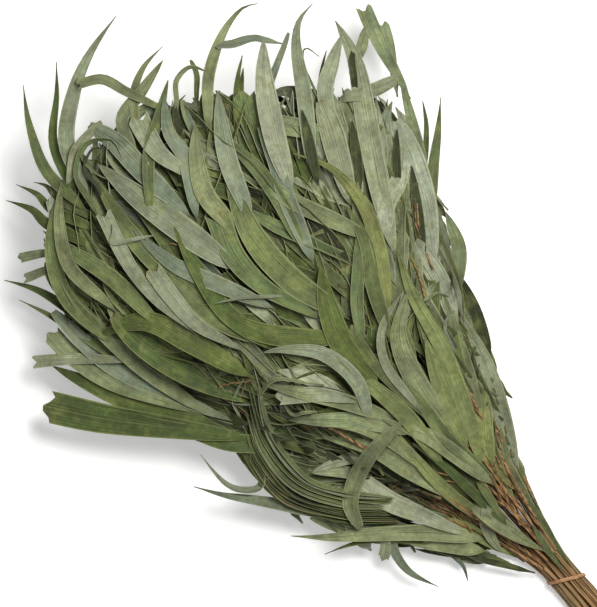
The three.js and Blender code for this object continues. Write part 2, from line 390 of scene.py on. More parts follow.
class Shader:
    """A material's node tree, put together one node at a time."""

    def __init__(self, name: str) -> None:
        """Starts a material with a principled surface.

        Args:
            name: The material's name.
        """
        self.material = bpy.data.materials.new(name)
        self.material.use_nodes = True
        self.tree = self.material.node_tree
        self.surface = next(n for n in self.tree.nodes if n.type == "BSDF_PRINCIPLED")
        self.place = self.tree.nodes.new("ShaderNodeTexCoord").outputs["Object"]

    def set(self, **values: float | tuple[float, ...]) -> None:
        """Sets constants on the surface's own sockets, named with underscores for spaces."""
        for name, value in values.items():
            self.surface.inputs[name.replace("_", " ")].default_value = value

    def feed(self, socket: bpy.types.NodeSocket, value: object) -> None:
        """Links a socket to another node's output, or gives it a constant.

        Args:
            socket: The input that is filled.
            value: Another node's output, a number or a colour.
        """
        if isinstance(value, bpy.types.NodeSocket):
            self.tree.links.new(value, socket)
        elif isinstance(value, tuple) and len(value) == 3 and socket.type == "RGBA":
            socket.default_value = (*value, 1.0)
        else:
            socket.default_value = value

    def attribute(self, name: str) -> bpy.types.Node:
        """Adds a node that reads one of the mesh's own attributes.

        Args:
            name: The name of the attribute.

        Returns:
            The node.
        """
        node = self.tree.nodes.new("ShaderNodeAttribute")
        node.attribute_name = name
        return node

    def along_piece(self) -> tuple[object, object]:
        """Returns the two coordinates of the piece's own UV map."""
        node = self.tree.nodes.new("ShaderNodeUVMap")
        node.uv_map = "UVMap"
        split = self.tree.nodes.new("ShaderNodeSeparateXYZ")
        self.feed(split.inputs[0], node.outputs["UV"])
        return split.outputs[0], split.outputs[1]

    def stretched(self, scale: tuple[float, float, float]) -> bpy.types.NodeSocket:
        """Multiplies the object coordinates along each axis, so that a pattern is drawn out.

        Args:
            scale: What each axis is multiplied by.

        Returns:
            The new coordinates.
        """
        node = self.tree.nodes.new("ShaderNodeMapping")
        self.feed(node.inputs["Vector"], self.place)
        node.inputs["Scale"].default_value = scale
        return node.outputs["Vector"]

    def noise(self, scale: float, detail: float = 3.0, place: object = None) -> bpy.types.NodeSocket:
        """Adds cloudy noise.

        Args:
            scale: How many features it has to a metre.
            detail: How fine its smallest features are.
            place: Where it is read, if not at the object coordinates.

        Returns:
            The noise, from 0 to 1.
        """
        node = self.tree.nodes.new("ShaderNodeTexNoise")
        self.feed(node.inputs["Vector"], self.place if place is None else place)
        node.inputs["Scale"].default_value = scale
        node.inputs["Detail"].default_value = detail
        return node.outputs["Fac"]

    def combine(self, x: object, y: object) -> bpy.types.NodeSocket:
        """Puts two numbers together as a place on a plane.

        Args:
            x: The first number.
            y: The second number.

        Returns:
            The place.
        """
        node = self.tree.nodes.new("ShaderNodeCombineXYZ")
        self.feed(node.inputs[0], x)
        self.feed(node.inputs[1], y)
        return node.outputs[0]

    def math(self, operation: str, *values: object) -> bpy.types.NodeSocket:
        """Adds a sum or another operation on numbers.

        Args:
            operation: The name of the operation.
            *values: Its one, two or three numbers.

        Returns:
            The result.
        """
        node = self.tree.nodes.new("ShaderNodeMath")
        node.operation = operation
        for socket, value in zip(node.inputs, values):
            self.feed(socket, value)
        return node.outputs[0]

    def remap(self, value: object, source: Span, result: Span) -> bpy.types.NodeSocket:
        """Moves a number smoothly from one range to another, and keeps it inside.

        Args:
            value: The number.
            source: The range that it comes from.
            result: The range that it goes to.

        Returns:
            The moved number.
        """
        node = self.tree.nodes.new("ShaderNodeMapRange")
        node.interpolation_type = "SMOOTHSTEP"
        self.feed(node.inputs["Value"], value)
        for name, number in zip(("From Min", "From Max", "To Min", "To Max"), (*source, *result)):
            node.inputs[name].default_value = number
        return node.outputs["Result"]

    def mix(self, share: object, first: object, second: object, blend: str = "MIX") -> bpy.types.NodeSocket:
        """Turns one colour into another by a share.

        Args:
            share: How much of the second colour there is.
            first: The colour to start with.
            second: The colour that is laid over it.
            blend: The way that they blend.

        Returns:
            The blended colour.
        """
        node = self.tree.nodes.new("ShaderNodeMix")
        node.data_type = "RGBA"
        node.blend_type = blend
        self.feed(node.inputs[0], share)
        self.feed(node.inputs[6], first)
        self.feed(node.inputs[7], second)
        return node.outputs[2]

    def bump(self, height: object, distance: float, strength: float = 1.0) -> None:
        """Raises the surface in relief.

        Args:
            height: The height of the relief.
            distance: What a height of one is, in metres.
            strength: How strongly the relief shows.
        """
        node = self.tree.nodes.new("ShaderNodeBump")
        node.inputs["Strength"].default_value = strength
        node.inputs["Distance"].default_value = distance
        self.feed(node.inputs["Height"], height)
        self.feed(self.surface.inputs["Normal"], node.outputs["Normal"])

    def finish(self, colour: object, roughness: object) -> bpy.types.Material:
        """Joins colour and roughness to the surface.

        Args:
            colour: The colour of the surface.
            roughness: How matte it is.

        Returns:
            The finished material.
        """
        self.feed(self.surface.inputs["Base Color"], colour)
        self.feed(self.surface.inputs["Roughness"], roughness)
        return self.material


@dataclass(frozen=True)
class LeafFinish:
    """A dry leaf: blotched and pleated, with painted shade in its furrows, a faint midrib, a waxy bloom, a
    pale edge that is a painted highlight, and a worn tip.

    The blade's own colour is the attribute leaf_colour, with the strength of the bloom as its fourth number.
    """

    name: str
    midrib: Colour
    bloom: Colour
    gloss: Span
    blotch: float = 0.3
    mellow: Colour = linear(114, 117, 64)
    dry: Colour = linear(122, 108, 72)

    def material(self) -> bpy.types.Material:
        """Returns the leaf's material."""
        shader = Shader(self.name)
        own = shader.attribute("leaf_colour")
        length, across = shader.along_piece()
        aside = shader.math("ABSOLUTE", shader.math("SUBTRACT", across, 0.5))

        cloud = shader.noise(48.0, 4.0)
        grain = shader.noise(1100.0, 2.0)
        mottle = shader.noise(240.0, 3.0)
        fibre = shader.noise(1.0, 3.0, shader.combine(shader.math("MULTIPLY", length, 3.5),
                                                      shader.math("MULTIPLY", across, 40.0)))
        pleat = shader.noise(1.0, 1.0, shader.combine(shader.math("MULTIPLY", length, 1.6),
                                                      shader.math("MULTIPLY", across, 13.0)))
        shade = shader.remap(cloud, (0.3, 0.7), (1.0 - self.blotch, 1.0 + self.blotch))
        # The fibre and pleat streaks darken the colour in their furrows: painted shade in the leaf's
        # wrinkles, laid over its own fine streaks.
        shade = shader.math("MULTIPLY", shade, shader.remap(fibre, (0.3, 0.7), (0.68, 1.27)))
        shade = shader.math("MULTIPLY", shade, shader.remap(pleat, (0.3, 0.7), (0.8, 1.18)))
        shade = shader.math("MULTIPLY", shade, shader.remap(grain, (0.2, 0.8), (0.86, 1.14)))
        shade = shader.math("MULTIPLY", shade, shader.remap(mottle, (0.3, 0.7), (0.84, 1.16)))
        patch = shader.remap(shader.noise(85.0, 3.0), (0.5, 0.66), (0.0, 0.4))
        colour = shader.mix(patch, own.outputs["Color"], self.mellow)
        colour = shader.mix(1.0, colour, shade, "MULTIPLY")

        haze = shader.math("MULTIPLY", shader.remap(shader.noise(30.0, 5.0), (0.36, 0.7), (0.0, 1.0)),
                           own.outputs["Alpha"])
        colour = shader.mix(haze, colour, self.bloom)

        rib = shader.remap(aside, (0.01, 0.035), (1.0, 0.0))
        colour = shader.mix(shader.math("MULTIPLY", rib, 0.3), colour, self.midrib)
        # A pale band along both edges, in the midrib's colour: a painted edge highlight.
        painted_edge_highlight = shader.remap(aside, (0.44, 0.48), (0.0, 0.5))
        colour = shader.mix(painted_edge_highlight, colour, self.midrib)

        edge = shader.math("MULTIPLY", shader.remap(aside, (0.4, 0.5), (0.0, 0.35)),
                           shader.remap(cloud, (0.56, 0.7), (0.0, 1.0)))
        tip = shader.math("MULTIPLY", shader.remap(length, (0.93, 1.0), (0.0, 0.45)),
                          shader.remap(cloud, (0.4, 0.65), (0.0, 1.0)))
        stalk = shader.remap(length, (0.02, 0.09), (0.4, 0.0))
        worn = shader.math("MAXIMUM", shader.math("MAXIMUM", edge, tip), stalk)
        colour = shader.mix(worn, colour, self.dry)

        fine = shader.math("MULTIPLY", grain, 0.12)
        height = shader.math("ADD", fine, shader.math("MULTIPLY", fibre, 0.55))
        height = shader.math("ADD", height, shader.math("ADD", pleat, shader.math("MULTIPLY", mottle, 0.5)))
        height = shader.math("SUBTRACT", height, shader.math("MULTIPLY", rib, 0.35))
        shader.bump(height, 0.0013, 0.85)
        shader.set(Specular_IOR_Level=0.26, Sheen_Weight=0.05, Sheen_Roughness=0.6)
        return shader.finish(colour, shader.remap(cloud, (0.3, 0.7), self.gloss))


@dataclass(frozen=True)
class BarkFinish:
    """Dry bark: ridged lengthwise, darker in its furrows, with pale scuffs along the ridges."""

    name: str
    dark: Colour
    light: Colour
    green: Colour
    furrows: Span = (0.38, 0.64)
    stretch: tuple[float, float, float] = (16.0, 700.0, 700.0)
    roughness: Span = (0.55, 0.85)

    def material(self) -> bpy.types.Material:
        """Returns the bark's material."""
        shader = Shader(self.name)
        furrow = shader.noise(1.0, 2.5, shader.stretched(self.stretch))
        patch = shader.noise(38.0, 3.0)
        grain = shader.noise(1500.0, 2.0)
        colour = shader.mix(shader.remap(furrow, self.furrows, (0.0, 1.0)), self.dark, self.light)
        colour = shader.mix(shader.remap(patch, (0.5, 0.68), (0.0, 0.65)), colour, self.green)
        colour = shader.mix(shader.remap(grain, (0.55, 0.8), (0.0, 0.3)), colour, self.light)
        shader.bump(shader.math("ADD", furrow, shader.math("MULTIPLY", grain, 0.2)), 0.0006, 0.8)
        shader.set(Specular_IOR_Level=0.3)
        return shader.finish(colour, shader.remap(furrow, (0.3, 0.7), self.roughness))


@dataclass(frozen=True)
class CutWoodFinish:
    """The sawn end of a stem: pale wood with darker pores."""

    name: str = "cut_wood"
    light: Colour = linear(205, 182, 140)
    dark: Colour = linear(142, 112, 74)

    def material(self) -> bpy.types.Material:
        """Returns the cut wood's material."""
        shader = Shader(self.name)
        pores = shader.noise(2600.0, 2.0)
        patch = shader.noise(300.0, 3.0)
        colour = shader.mix(shader.remap(pores, (0.45, 0.7), (0.0, 0.8)), self.light, self.dark)
        colour = shader.mix(shader.remap(patch, (0.4, 0.7), (0.0, 0.5)), colour, self.dark)
        shader.bump(pores, 0.0002, 0.6)
        return shader.finish(colour, shader.remap(patch, (0.3, 0.7), (0.75, 0.9)))


@dataclass(frozen=True)
class RubberFinish:
    """Natural rubber: tan, a little uneven, with a powdery surface and fine lines along the strip."""

    name: str = "natural_rubber"
    light: Colour = linear(176, 132, 86)
    dark: Colour = linear(116, 76, 44)

    def material(self) -> bpy.types.Material:
        """Returns the rubber's material."""
        shader = Shader(self.name)
        cloud = shader.noise(160.0, 4.0)
        lines = shader.noise(1.0, 2.0, shader.stretched((1400.0, 120.0, 120.0)))
        colour = shader.mix(shader.remap(cloud, (0.35, 0.7), (0.0, 0.9)), self.light, self.dark)
        colour = shader.mix(shader.remap(lines, (0.5, 0.75), (0.0, 0.4)), colour, self.dark)
        shader.bump(shader.math("ADD", lines, shader.math("MULTIPLY", cloud, 0.5)), 0.0003, 0.6)
        shader.set(Specular_IOR_Level=0.4)
        return shader.finish(colour, shader.remap(cloud, (0.3, 0.7), (0.45, 0.65)))


@dataclass(frozen=True)
class FloorFinish:
    """A plain pale light table with the faintest unevenness."""

    name: str = "pale_floor"
    glow: float = 0.3
    light: Colour = (0.93, 0.93, 0.925)
    dark: Colour = (0.9, 0.9, 0.895)

    def material(self) -> bpy.types.Material:
        """Returns the floor's material."""
        shader = Shader(self.name)
        cloud = shader.noise(6.0, 2.0)
        colour = shader.mix(cloud, self.light, self.dark)
        shader.set(Specular_IOR_Level=0.1, Emission_Color=(1.0, 1.0, 1.0, 1.0), Emission_Strength=self.glow)
        return shader.finish(colour, shader.remap(cloud, (0.3, 0.7), (0.85, 0.95)))


class Slot(Enum):
    """The record's material slots."""

    SAGE = "leaf_sage"
    GREY_GREEN = "leaf_grey_green"
    OLIVE = "leaf_olive"
    BARK = "stem_bark"
    RUBBER = "rubber_band"


@dataclass(frozen=True)
class Hue:
    """A leaf colour with the strength of its bloom and the slot that it belongs to."""

    colour: Colour
    bloom: float
    slot: Slot


class Tone(Enum):
    """The leaf colours found in the bunch."""

    SILVER = Hue(linear(145, 151, 126), 0.36, Slot.GREY_GREEN)
    PALE = Hue(linear(132, 140, 111), 0.36, Slot.GREY_GREEN)
    BLUE_GREY = Hue(linear(110, 121, 98), 0.32, Slot.GREY_GREEN)
    SAGE = Hue(linear(120, 129, 91), 0.25, Slot.SAGE)
    GREEN = Hue(linear(94, 107, 62), 0.13, Slot.SAGE)
    OLIVE = Hue(linear(75, 89, 40), 0.05, Slot.OLIVE)
    # A very dark olive that lays painted shade: leaves in this tone stand where the heap shows dark gaps
    # between leaves.
    DEEP = Hue(linear(52, 60, 32), 0.03, Slot.OLIVE)
    YELLOW_GREEN = Hue(linear(118, 127, 76), 0.1, Slot.OLIVE)
    DRY = Hue(linear(110, 100, 70), 0.1, Slot.OLIVE)


@dataclass(frozen=True)
class Region:
    """A stretch of the fan where some leaf colours are commoner than others."""

    x: Span
    y: Span
    shares: dict[Tone, float]

    def holds(self, x: float, y: float) -> bool:
        """Returns whether a point of the plan is in the region."""
        return self.x[0] <= x < self.x[1] and self.y[0] <= y < self.y[1]


# The very dark olive tone in each region's shares scatters dark leaves as painted shade between the others.
REGIONS = (
    Region((420.0, 700.0), (-400.0, -45.0),
           {Tone.SILVER: 2.5, Tone.PALE: 3, Tone.BLUE_GREY: 1, Tone.SAGE: 2, Tone.GREEN: 1, Tone.DEEP: 2.2}),
    Region((250.0, 420.0), (-400.0, -45.0),
           {Tone.SILVER: 3, Tone.PALE: 3, Tone.SAGE: 1.5, Tone.GREEN: 1, Tone.DEEP: 2, Tone.YELLOW_GREEN: 1}),
    Region((230.0, 430.0), (85.0, 400.0),
           {Tone.OLIVE: 4, Tone.GREEN: 3.4, Tone.SAGE: 1.6, Tone.DEEP: 0.8, Tone.PALE: 0.4}),
    Region((430.0, 700.0), (-45.0, 400.0),
           {Tone.SILVER: 0.7, Tone.PALE: 1.5, Tone.BLUE_GREY: 1.5, Tone.SAGE: 2, Tone.GREEN: 2.5,
            Tone.OLIVE: 1.5, Tone.DEEP: 1}),
    Region((-100.0, 250.0), (40.0, 400.0),
           {Tone.SILVER: 1.6, Tone.PALE: 2.4, Tone.SAGE: 3, Tone.GREEN: 1.5, Tone.OLIVE: 0.8,
            Tone.DEEP: 0.8}),
    Region((-100.0, 250.0), (-400.0, 40.0),
           {Tone.SILVER: 0.6, Tone.PALE: 1.3, Tone.SAGE: 1.5, Tone.GREEN: 1.5, Tone.OLIVE: 1.7,
            Tone.DEEP: 0.8, Tone.YELLOW_GREEN: 3}),
    Region((250.0, 430.0), (-45.0, 85.0),
           {Tone.PALE: 0.7, Tone.BLUE_GREY: 0.6, Tone.SAGE: 1.4, Tone.GREEN: 3, Tone.OLIVE: 3, Tone.DEEP: 1.2,
            Tone.YELLOW_GREEN: 0.9}),
)


class Finishes:
    """The materials of the bunch, each made once."""

    def __init__(self) -> None:
        """Makes every material."""
        self.leaves: dict[Slot, bpy.types.Material] = {
            Slot.SAGE: LeafFinish(
                "sage_leaf", linear(154, 158, 116), linear(136, 144, 112), (0.5, 0.72)
            ).material(),
            Slot.GREY_GREEN: LeafFinish(
                "grey_green_leaf", linear(170, 173, 142), linear(148, 154, 128), (0.58, 0.8), blotch=0.2
            ).material(),
            Slot.OLIVE: LeafFinish(
                "olive_leaf", linear(132, 138, 82), linear(108, 120, 80), (0.45, 0.65), blotch=0.25
            ).material(),
        }
        self.bark = BarkFinish(
            "bark", linear(52, 34, 20), linear(158, 124, 82), linear(116, 100, 64)
        ).material()
        self.twig = BarkFinish(
            "twig_bark", linear(60, 50, 34), linear(136, 120, 86), linear(96, 96, 62)
        ).material()
        self.sprig = BarkFinish(
            "sprig_bark", linear(84, 58, 34), linear(160, 124, 80), linear(128, 112, 68)
        ).material()
        self.cut_wood = CutWoodFinish().material()
        self.rubber = RubberFinish().material()
        self.floor = FloorFinish().material()


# ----------------------------------------------------------------------------------------------------------
# Making pieces


class Piece:
    """A piece being made in the bunch's own millimetres, and then handed over to the frame."""

    def __init__(self, name: str, layout: Layout) -> None:
        """Starts an empty piece.

        Args:
            name: The piece's name.
            layout: Where the bunch is in the frame.
        """
        self.name = name
        self.layout = layout
        self.bm = bmesh.new()
        self.uv = self.bm.loops.layers.uv.new("UVMap")
        self.colour = self.bm.verts.layers.float_color.new("leaf_colour")

    def hand_over(
        self,
        materials: Iterable[bpy.types.Material],
        stands_for: str | None = None,
        crease: float = 50.0,
    ) -> bpy.types.Object:
        """Turns the piece into an object of the scene that rides on the frame.

        Args:
            materials: The piece's materials, in the order of its faces' numbers.
            stands_for: The frame's node that the piece is shown in place of, if there is one.
            crease: Edges bent by more than this many degrees are sharp.

        Returns:
            The finished object.
        """
        bmesh.ops.transform(self.bm, matrix=self.layout.to_frame(), verts=self.bm.verts)
        for face in self.bm.faces:
            face.smooth = True
        for edge in self.bm.edges:
            edge.smooth = edge.calc_face_angle(math.pi) < math.radians(crease)
        mesh = bpy.data.meshes.new(self.name)
        self.bm.to_mesh(mesh)
        self.bm.free()
        for material in materials:
            mesh.materials.append(material)
        piece = bpy.data.objects.new(self.name, mesh)
        bpy.context.scene.collection.objects.link(piece)
        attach(piece, "root")
        if stands_for is not None:
            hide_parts(stands_for)
        LOG.info("%s: %d faces", self.name, len(mesh.polygons))
        return piece


def sweep(
    piece: Piece,
    line: list[Vector],
    section: Callable[[int, int], Point],
    sides: int,
    material: int = 0,
    cap_material: int | None = None,
    closed: bool = False,
    upright: Vector = UP,
) -> None:
    """Draws a section along a line, as a tube with closed ends or as a loop.

    Args:
        piece: What the tube becomes part of.
        line: The middle of the tube at each of its rings.
        section: Returns a corner, sideways and upwards, from the ring's and the corner's number.
        sides: How many corners the section has.
        material: The number of the tube's material.
        cap_material: The number of the ends' material, if it differs.
        closed: Whether the last ring joins the first.
        upright: The direction that the section's upward axis keeps nearest to.
    """
    bm = piece.bm
    last = len(line) - 1
    rings = []
    for k, middle in enumerate(line):
        before = line[k - 1] if k or closed else middle
        after = line[(k + 1) % len(line)] if k < last or closed else middle
        tangent = (after - before).normalized()
        across = upright.cross(tangent).normalized()
        rise = tangent.cross(across)
        ring = bmesh.ops.create_circle(bm, cap_ends=False, segments=sides, radius=1.0)["verts"]
        for corner, vertex in enumerate(ring):
            aside, up = section(k, corner)
            vertex.co = middle + across * aside + rise * up
        rings.append(list(dict.fromkeys(edge for vertex in ring for edge in vertex.link_edges)))
    faces = []
    pairs = list(zip(rings, rings[1:] + rings[:1] if closed else rings[1:]))
    for lower, upper in pairs:
        faces += bmesh.ops.bridge_loops(bm, edges=lower + upper)["faces"]
    for face in faces:
        face.material_index = material
    if not closed:
        for ring in (rings[0], rings[-1]):
            for face in bmesh.ops.edgeloop_fill(bm, edges=ring)["faces"]:
                face.material_index = material if cap_material is None else cap_material


def circle(radius: Callable[[int, int], float], sides: int) -> Callable[[int, int], Point]:
    """Makes a round section for sweep.

    Args:
        radius: Returns the radius, from the ring's and the corner's number.
        sides: How many corners the section has.

    Returns:
        What sweep takes as its section.
    """

    def corner_of(ring: int, corner: int) -> Point:
        """Places one corner of the section.

        Args:
            ring: The ring's number.
            corner: The corner's number.

        Returns:
            The corner, sideways and upwards.
        """
        turn = 2.0 * math.pi * corner / sides
        size = radius(ring, corner)
        return size * math.cos(turn), size * math.sin(turn)

    return corner_of


class Tip(Enum):
    """How a blade ends: how fast it narrows, how much width is left at its tip, and how ragged it is."""

    POINTED = (0.74, 0.02, 0.0)
    TAPERED = (1.1, 0.02, 0.0)
    BLUNT = (0.36, 0.25, 0.15)
    CUT = (0.16, 0.62, 0.35)


@dataclass(frozen=True)
class Blade:
    """One leaf, led along a spine, in millimetres.

    Attributes:
        spine: Points that the middle of the leaf is led through, from its base to its tip.
        width: Its full width where it is widest.
        colour: Its own colour and, fourth, the strength of its bloom.
        roll: How far it is turned about its spine at its base and at its tip, in degrees.
        fold: How far each half is folded up about the midrib, in degrees.
        wave: How far its edges swing up and down, as a share of its half width.
        waves: How many swings there are along it.
        phase: Where the first swing starts.
        tip: How it ends.
        grid: How many stretches it is divided into, lengthwise and across.
    """

    spine: list[Vector]
    width: float
    colour: tuple[float, float, float, float]
    roll: Span = (0.0, 0.0)
    fold: float = 14.0
    wave: float = 0.12
    waves: float = 2.3
    phase: float = 0.0
    tip: Tip = Tip.POINTED
    grid: tuple[int, int] = (12, 4)

    STALK = 0.07
    STALK_HALF = 0.7
    BASE_FULLNESS = 0.52
    LOWEST = 0.8
    HIGHEST = 118.0

    def half_width(self, share: float) -> float:
        """Works out how wide the blade is.

        Args:
            share: How far along the blade, from 0 at its stalk to 1 at its tip.

        Returns:
            Half the width there.
        """
        narrowing, left, _ = self.tip.value
        along_blade = min(1.0, max(0.0, (share - self.STALK) / (1.0 - self.STALK)))
        widest = self.BASE_FULLNESS / (self.BASE_FULLNESS + narrowing)
        to_tip = 1.0 - along_blade * (1.0 - left**3)
        shape = (along_blade / widest) ** self.BASE_FULLNESS * (to_tip / (1.0 - widest)) ** narrowing
        return max(self.STALK_HALF if share < 0.5 else 0.3, shape * self.width / 2.0)

    def add_to(self, piece: Piece) -> list[bmesh.types.BMFace]:
        """Adds the leaf to a piece as an open sheet.

        Args:
            piece: What the leaf becomes part of.

        Returns:
            The leaf's faces, which have no thickness yet.
        """
        lengthwise, crosswise = self.grid
        line = stations(self.spine, lengthwise)
        ragged = self.tip.value[2]
        frames, tangents = [], []
        for i, middle in enumerate(line):
            tangent = (line[min(i + 1, lengthwise)] - line[max(i - 1, 0)]).normalized()
            tangents.append(tangent)
            side = UP.cross(tangent).normalized()
            roll = math.radians(lerp(*self.roll, i / lengthwise))
            turned = Matrix.Rotation(roll, 3, tangent)
            frames.append((middle, turned @ side, turned @ tangent.cross(side)))
        grid = bmesh.ops.create_grid(piece.bm, x_segments=lengthwise, y_segments=crosswise, size=1.0)
        sheet = grid["verts"]
        shares = {}
        for vertex in sheet:
            share, across = (vertex.co.x + 1.0) / 2.0, vertex.co.y
            shares[vertex] = (share, (across + 1.0) / 2.0)
            i = round(share * lengthwise)
            middle, side, normal = frames[i]
            half = self.half_width(share)
            fold = math.radians(self.fold) * math.sin(math.pi * min(1.0, 0.12 + share))
            swing = math.sin(2.0 * math.pi * self.waves * share + self.phase + (1.1 if across > 0.0 else 0.0))
            rise = half * (abs(across) * math.sin(fold) + self.wave * swing * across * across)
            torn = ragged * half * smooth(share, 0.8, 1.0) * math.sin(4.0 * across + 5.0 * self.phase)
            vertex.co = middle + side * (across * half * math.cos(fold)) + normal * rise + tangents[i] * torn
            vertex.co.z = min(max(vertex.co.z, self.LOWEST), self.HIGHEST)
            vertex[piece.colour] = self.colour
        faces = list(dict.fromkeys(face for vertex in sheet for face in vertex.link_faces))
        for face in faces:
            for loop in face.loops:
                loop[piece.uv].uv = shares[loop.vert]
        return faces


def thicken(piece: Piece, sheets: list[bmesh.types.BMFace], thickness: float = 0.45) -> None:
    """Gives open leaf sheets their thickness, as closed shells.

    Args:
        piece: What the sheets are part of.
        sheets: The sheets' faces.
        thickness: How thick a leaf is, in millimetres.
    """
    bmesh.ops.solidify(piece.bm, geom=sheets, thickness=thickness)
    bmesh.ops.recalc_face_normals(piece.bm, faces=piece.bm.faces)


class Palette:
    """Picks leaf colours by region, each a little different from the last."""

    def __init__(self, seed: int) -> None:
        """Starts a repeatable series of picks."""
        self.chance = random.Random(seed)

    def tone(self, x: float, y: float) -> Tone:
        """Returns a colour that is common at a point of the plan."""
        shares = next(region.shares for region in REGIONS if region.holds(x, y))
        return self.chance.choices(list(shares), list(shares.values()))[0]

    def shade(
        self, tone: Tone, strength: float = 1.0, spread: float = 0.2
    ) -> tuple[float, float, float, float]:
        """Picks one leaf's colour, near its tone.

        Args:
            tone: The tone that it is near.
            strength: What its lightness is multiplied by.
            spread: How far its lightness may stray.

        Returns:
            The colour, and the bloom as its fourth number.
        """
        hue = tone.value
        light = self.chance.uniform(1.0 - spread, 1.0 + 0.8 * spread) * strength
        warm = self.chance.uniform(-0.06, 0.06)
        red, green, blue = hue.colour
        bloom = hue.bloom * self.chance.uniform(0.6, 1.3)
        return red * light * (1.0 + warm), green * light, blue * light * (1.0 - warm), min(1.0, bloom)


# ----------------------------------------------------------------------------------------------------------
# Sub-assemblies


@dataclass
class StemBundle:
    """The bare stems: ridged, a little uneven, with small knots, and cut off aslant behind the tie."""

    layout: Layout
    finishes: Finishes
    sides: int = 12
    ring_spacing: float = 9.0
    ridge_depth: float = 0.12
    unevenness: float = 0.06
    wander: float = 0.22
    knot_size: float = 0.22
    knots_per_stem: int = 4
    cut_slant: float = 0.45
    slimness: float = 0.93

    def build(self) -> None:
        """Builds every stem."""
        for branch in self.layout.branches():
            self.build_stem(branch)

    def build_stem(self, branch: Branch) -> None:
        """Builds one stem as a closed solid.

        Args:
            branch: Whose stem it is.
        """
        chance = random.Random(100 + branch.number)
        count = round((branch.top_start - branch.cut) / self.ring_spacing)
        line = [branch.point(lerp(branch.cut, branch.top_start, i / count)) for i in range(count + 1)]
        line = [
            point + Vector((0.0, chance.uniform(-1, 1), chance.uniform(-1, 1))) * self.wander * (i > 0)
            for i, point in enumerate(line)
        ]
        knots = {chance.randrange(2, count) for _ in range(self.knots_per_stem)}
        sizes = [
            1.0 + chance.uniform(-1, 1) * self.unevenness + self.knot_size * (i in knots)
            for i in range(count + 1)
        ]
        start, end = self.layout.stem_diameter / 2.0, self.layout.stem_top_diameter / 2.0
        turn = chance.uniform(0.0, math.pi)

        def radius(ring: int, corner: int) -> float:
            """Returns the stem's radius at one corner of a ring."""
            ridge = 1.0 + self.ridge_depth * math.cos(6.0 * math.pi * corner / self.sides * 2.0 + turn)
            return lerp(start, end, ring / count) * self.slimness * sizes[ring] * ridge

        piece = Piece(f"bark_stem_{branch.number:02d}", self.layout)
        sweep(piece, line, circle(radius, self.sides), self.sides, 0, 1)
        slant = chance.uniform(-1, 1) * self.cut_slant
        for vertex in piece.bm.verts:
            if vertex.co.x < branch.cut + 0.5:
                vertex.co.x += slant * (vertex.co.z - line[0].z) + abs(slant) * start
        bmesh.ops.recalc_face_normals(piece.bm, faces=piece.bm.faces)
        piece.hand_over((self.finishes.bark, self.finishes.cut_wood), f"stem_{branch.number:02d}")


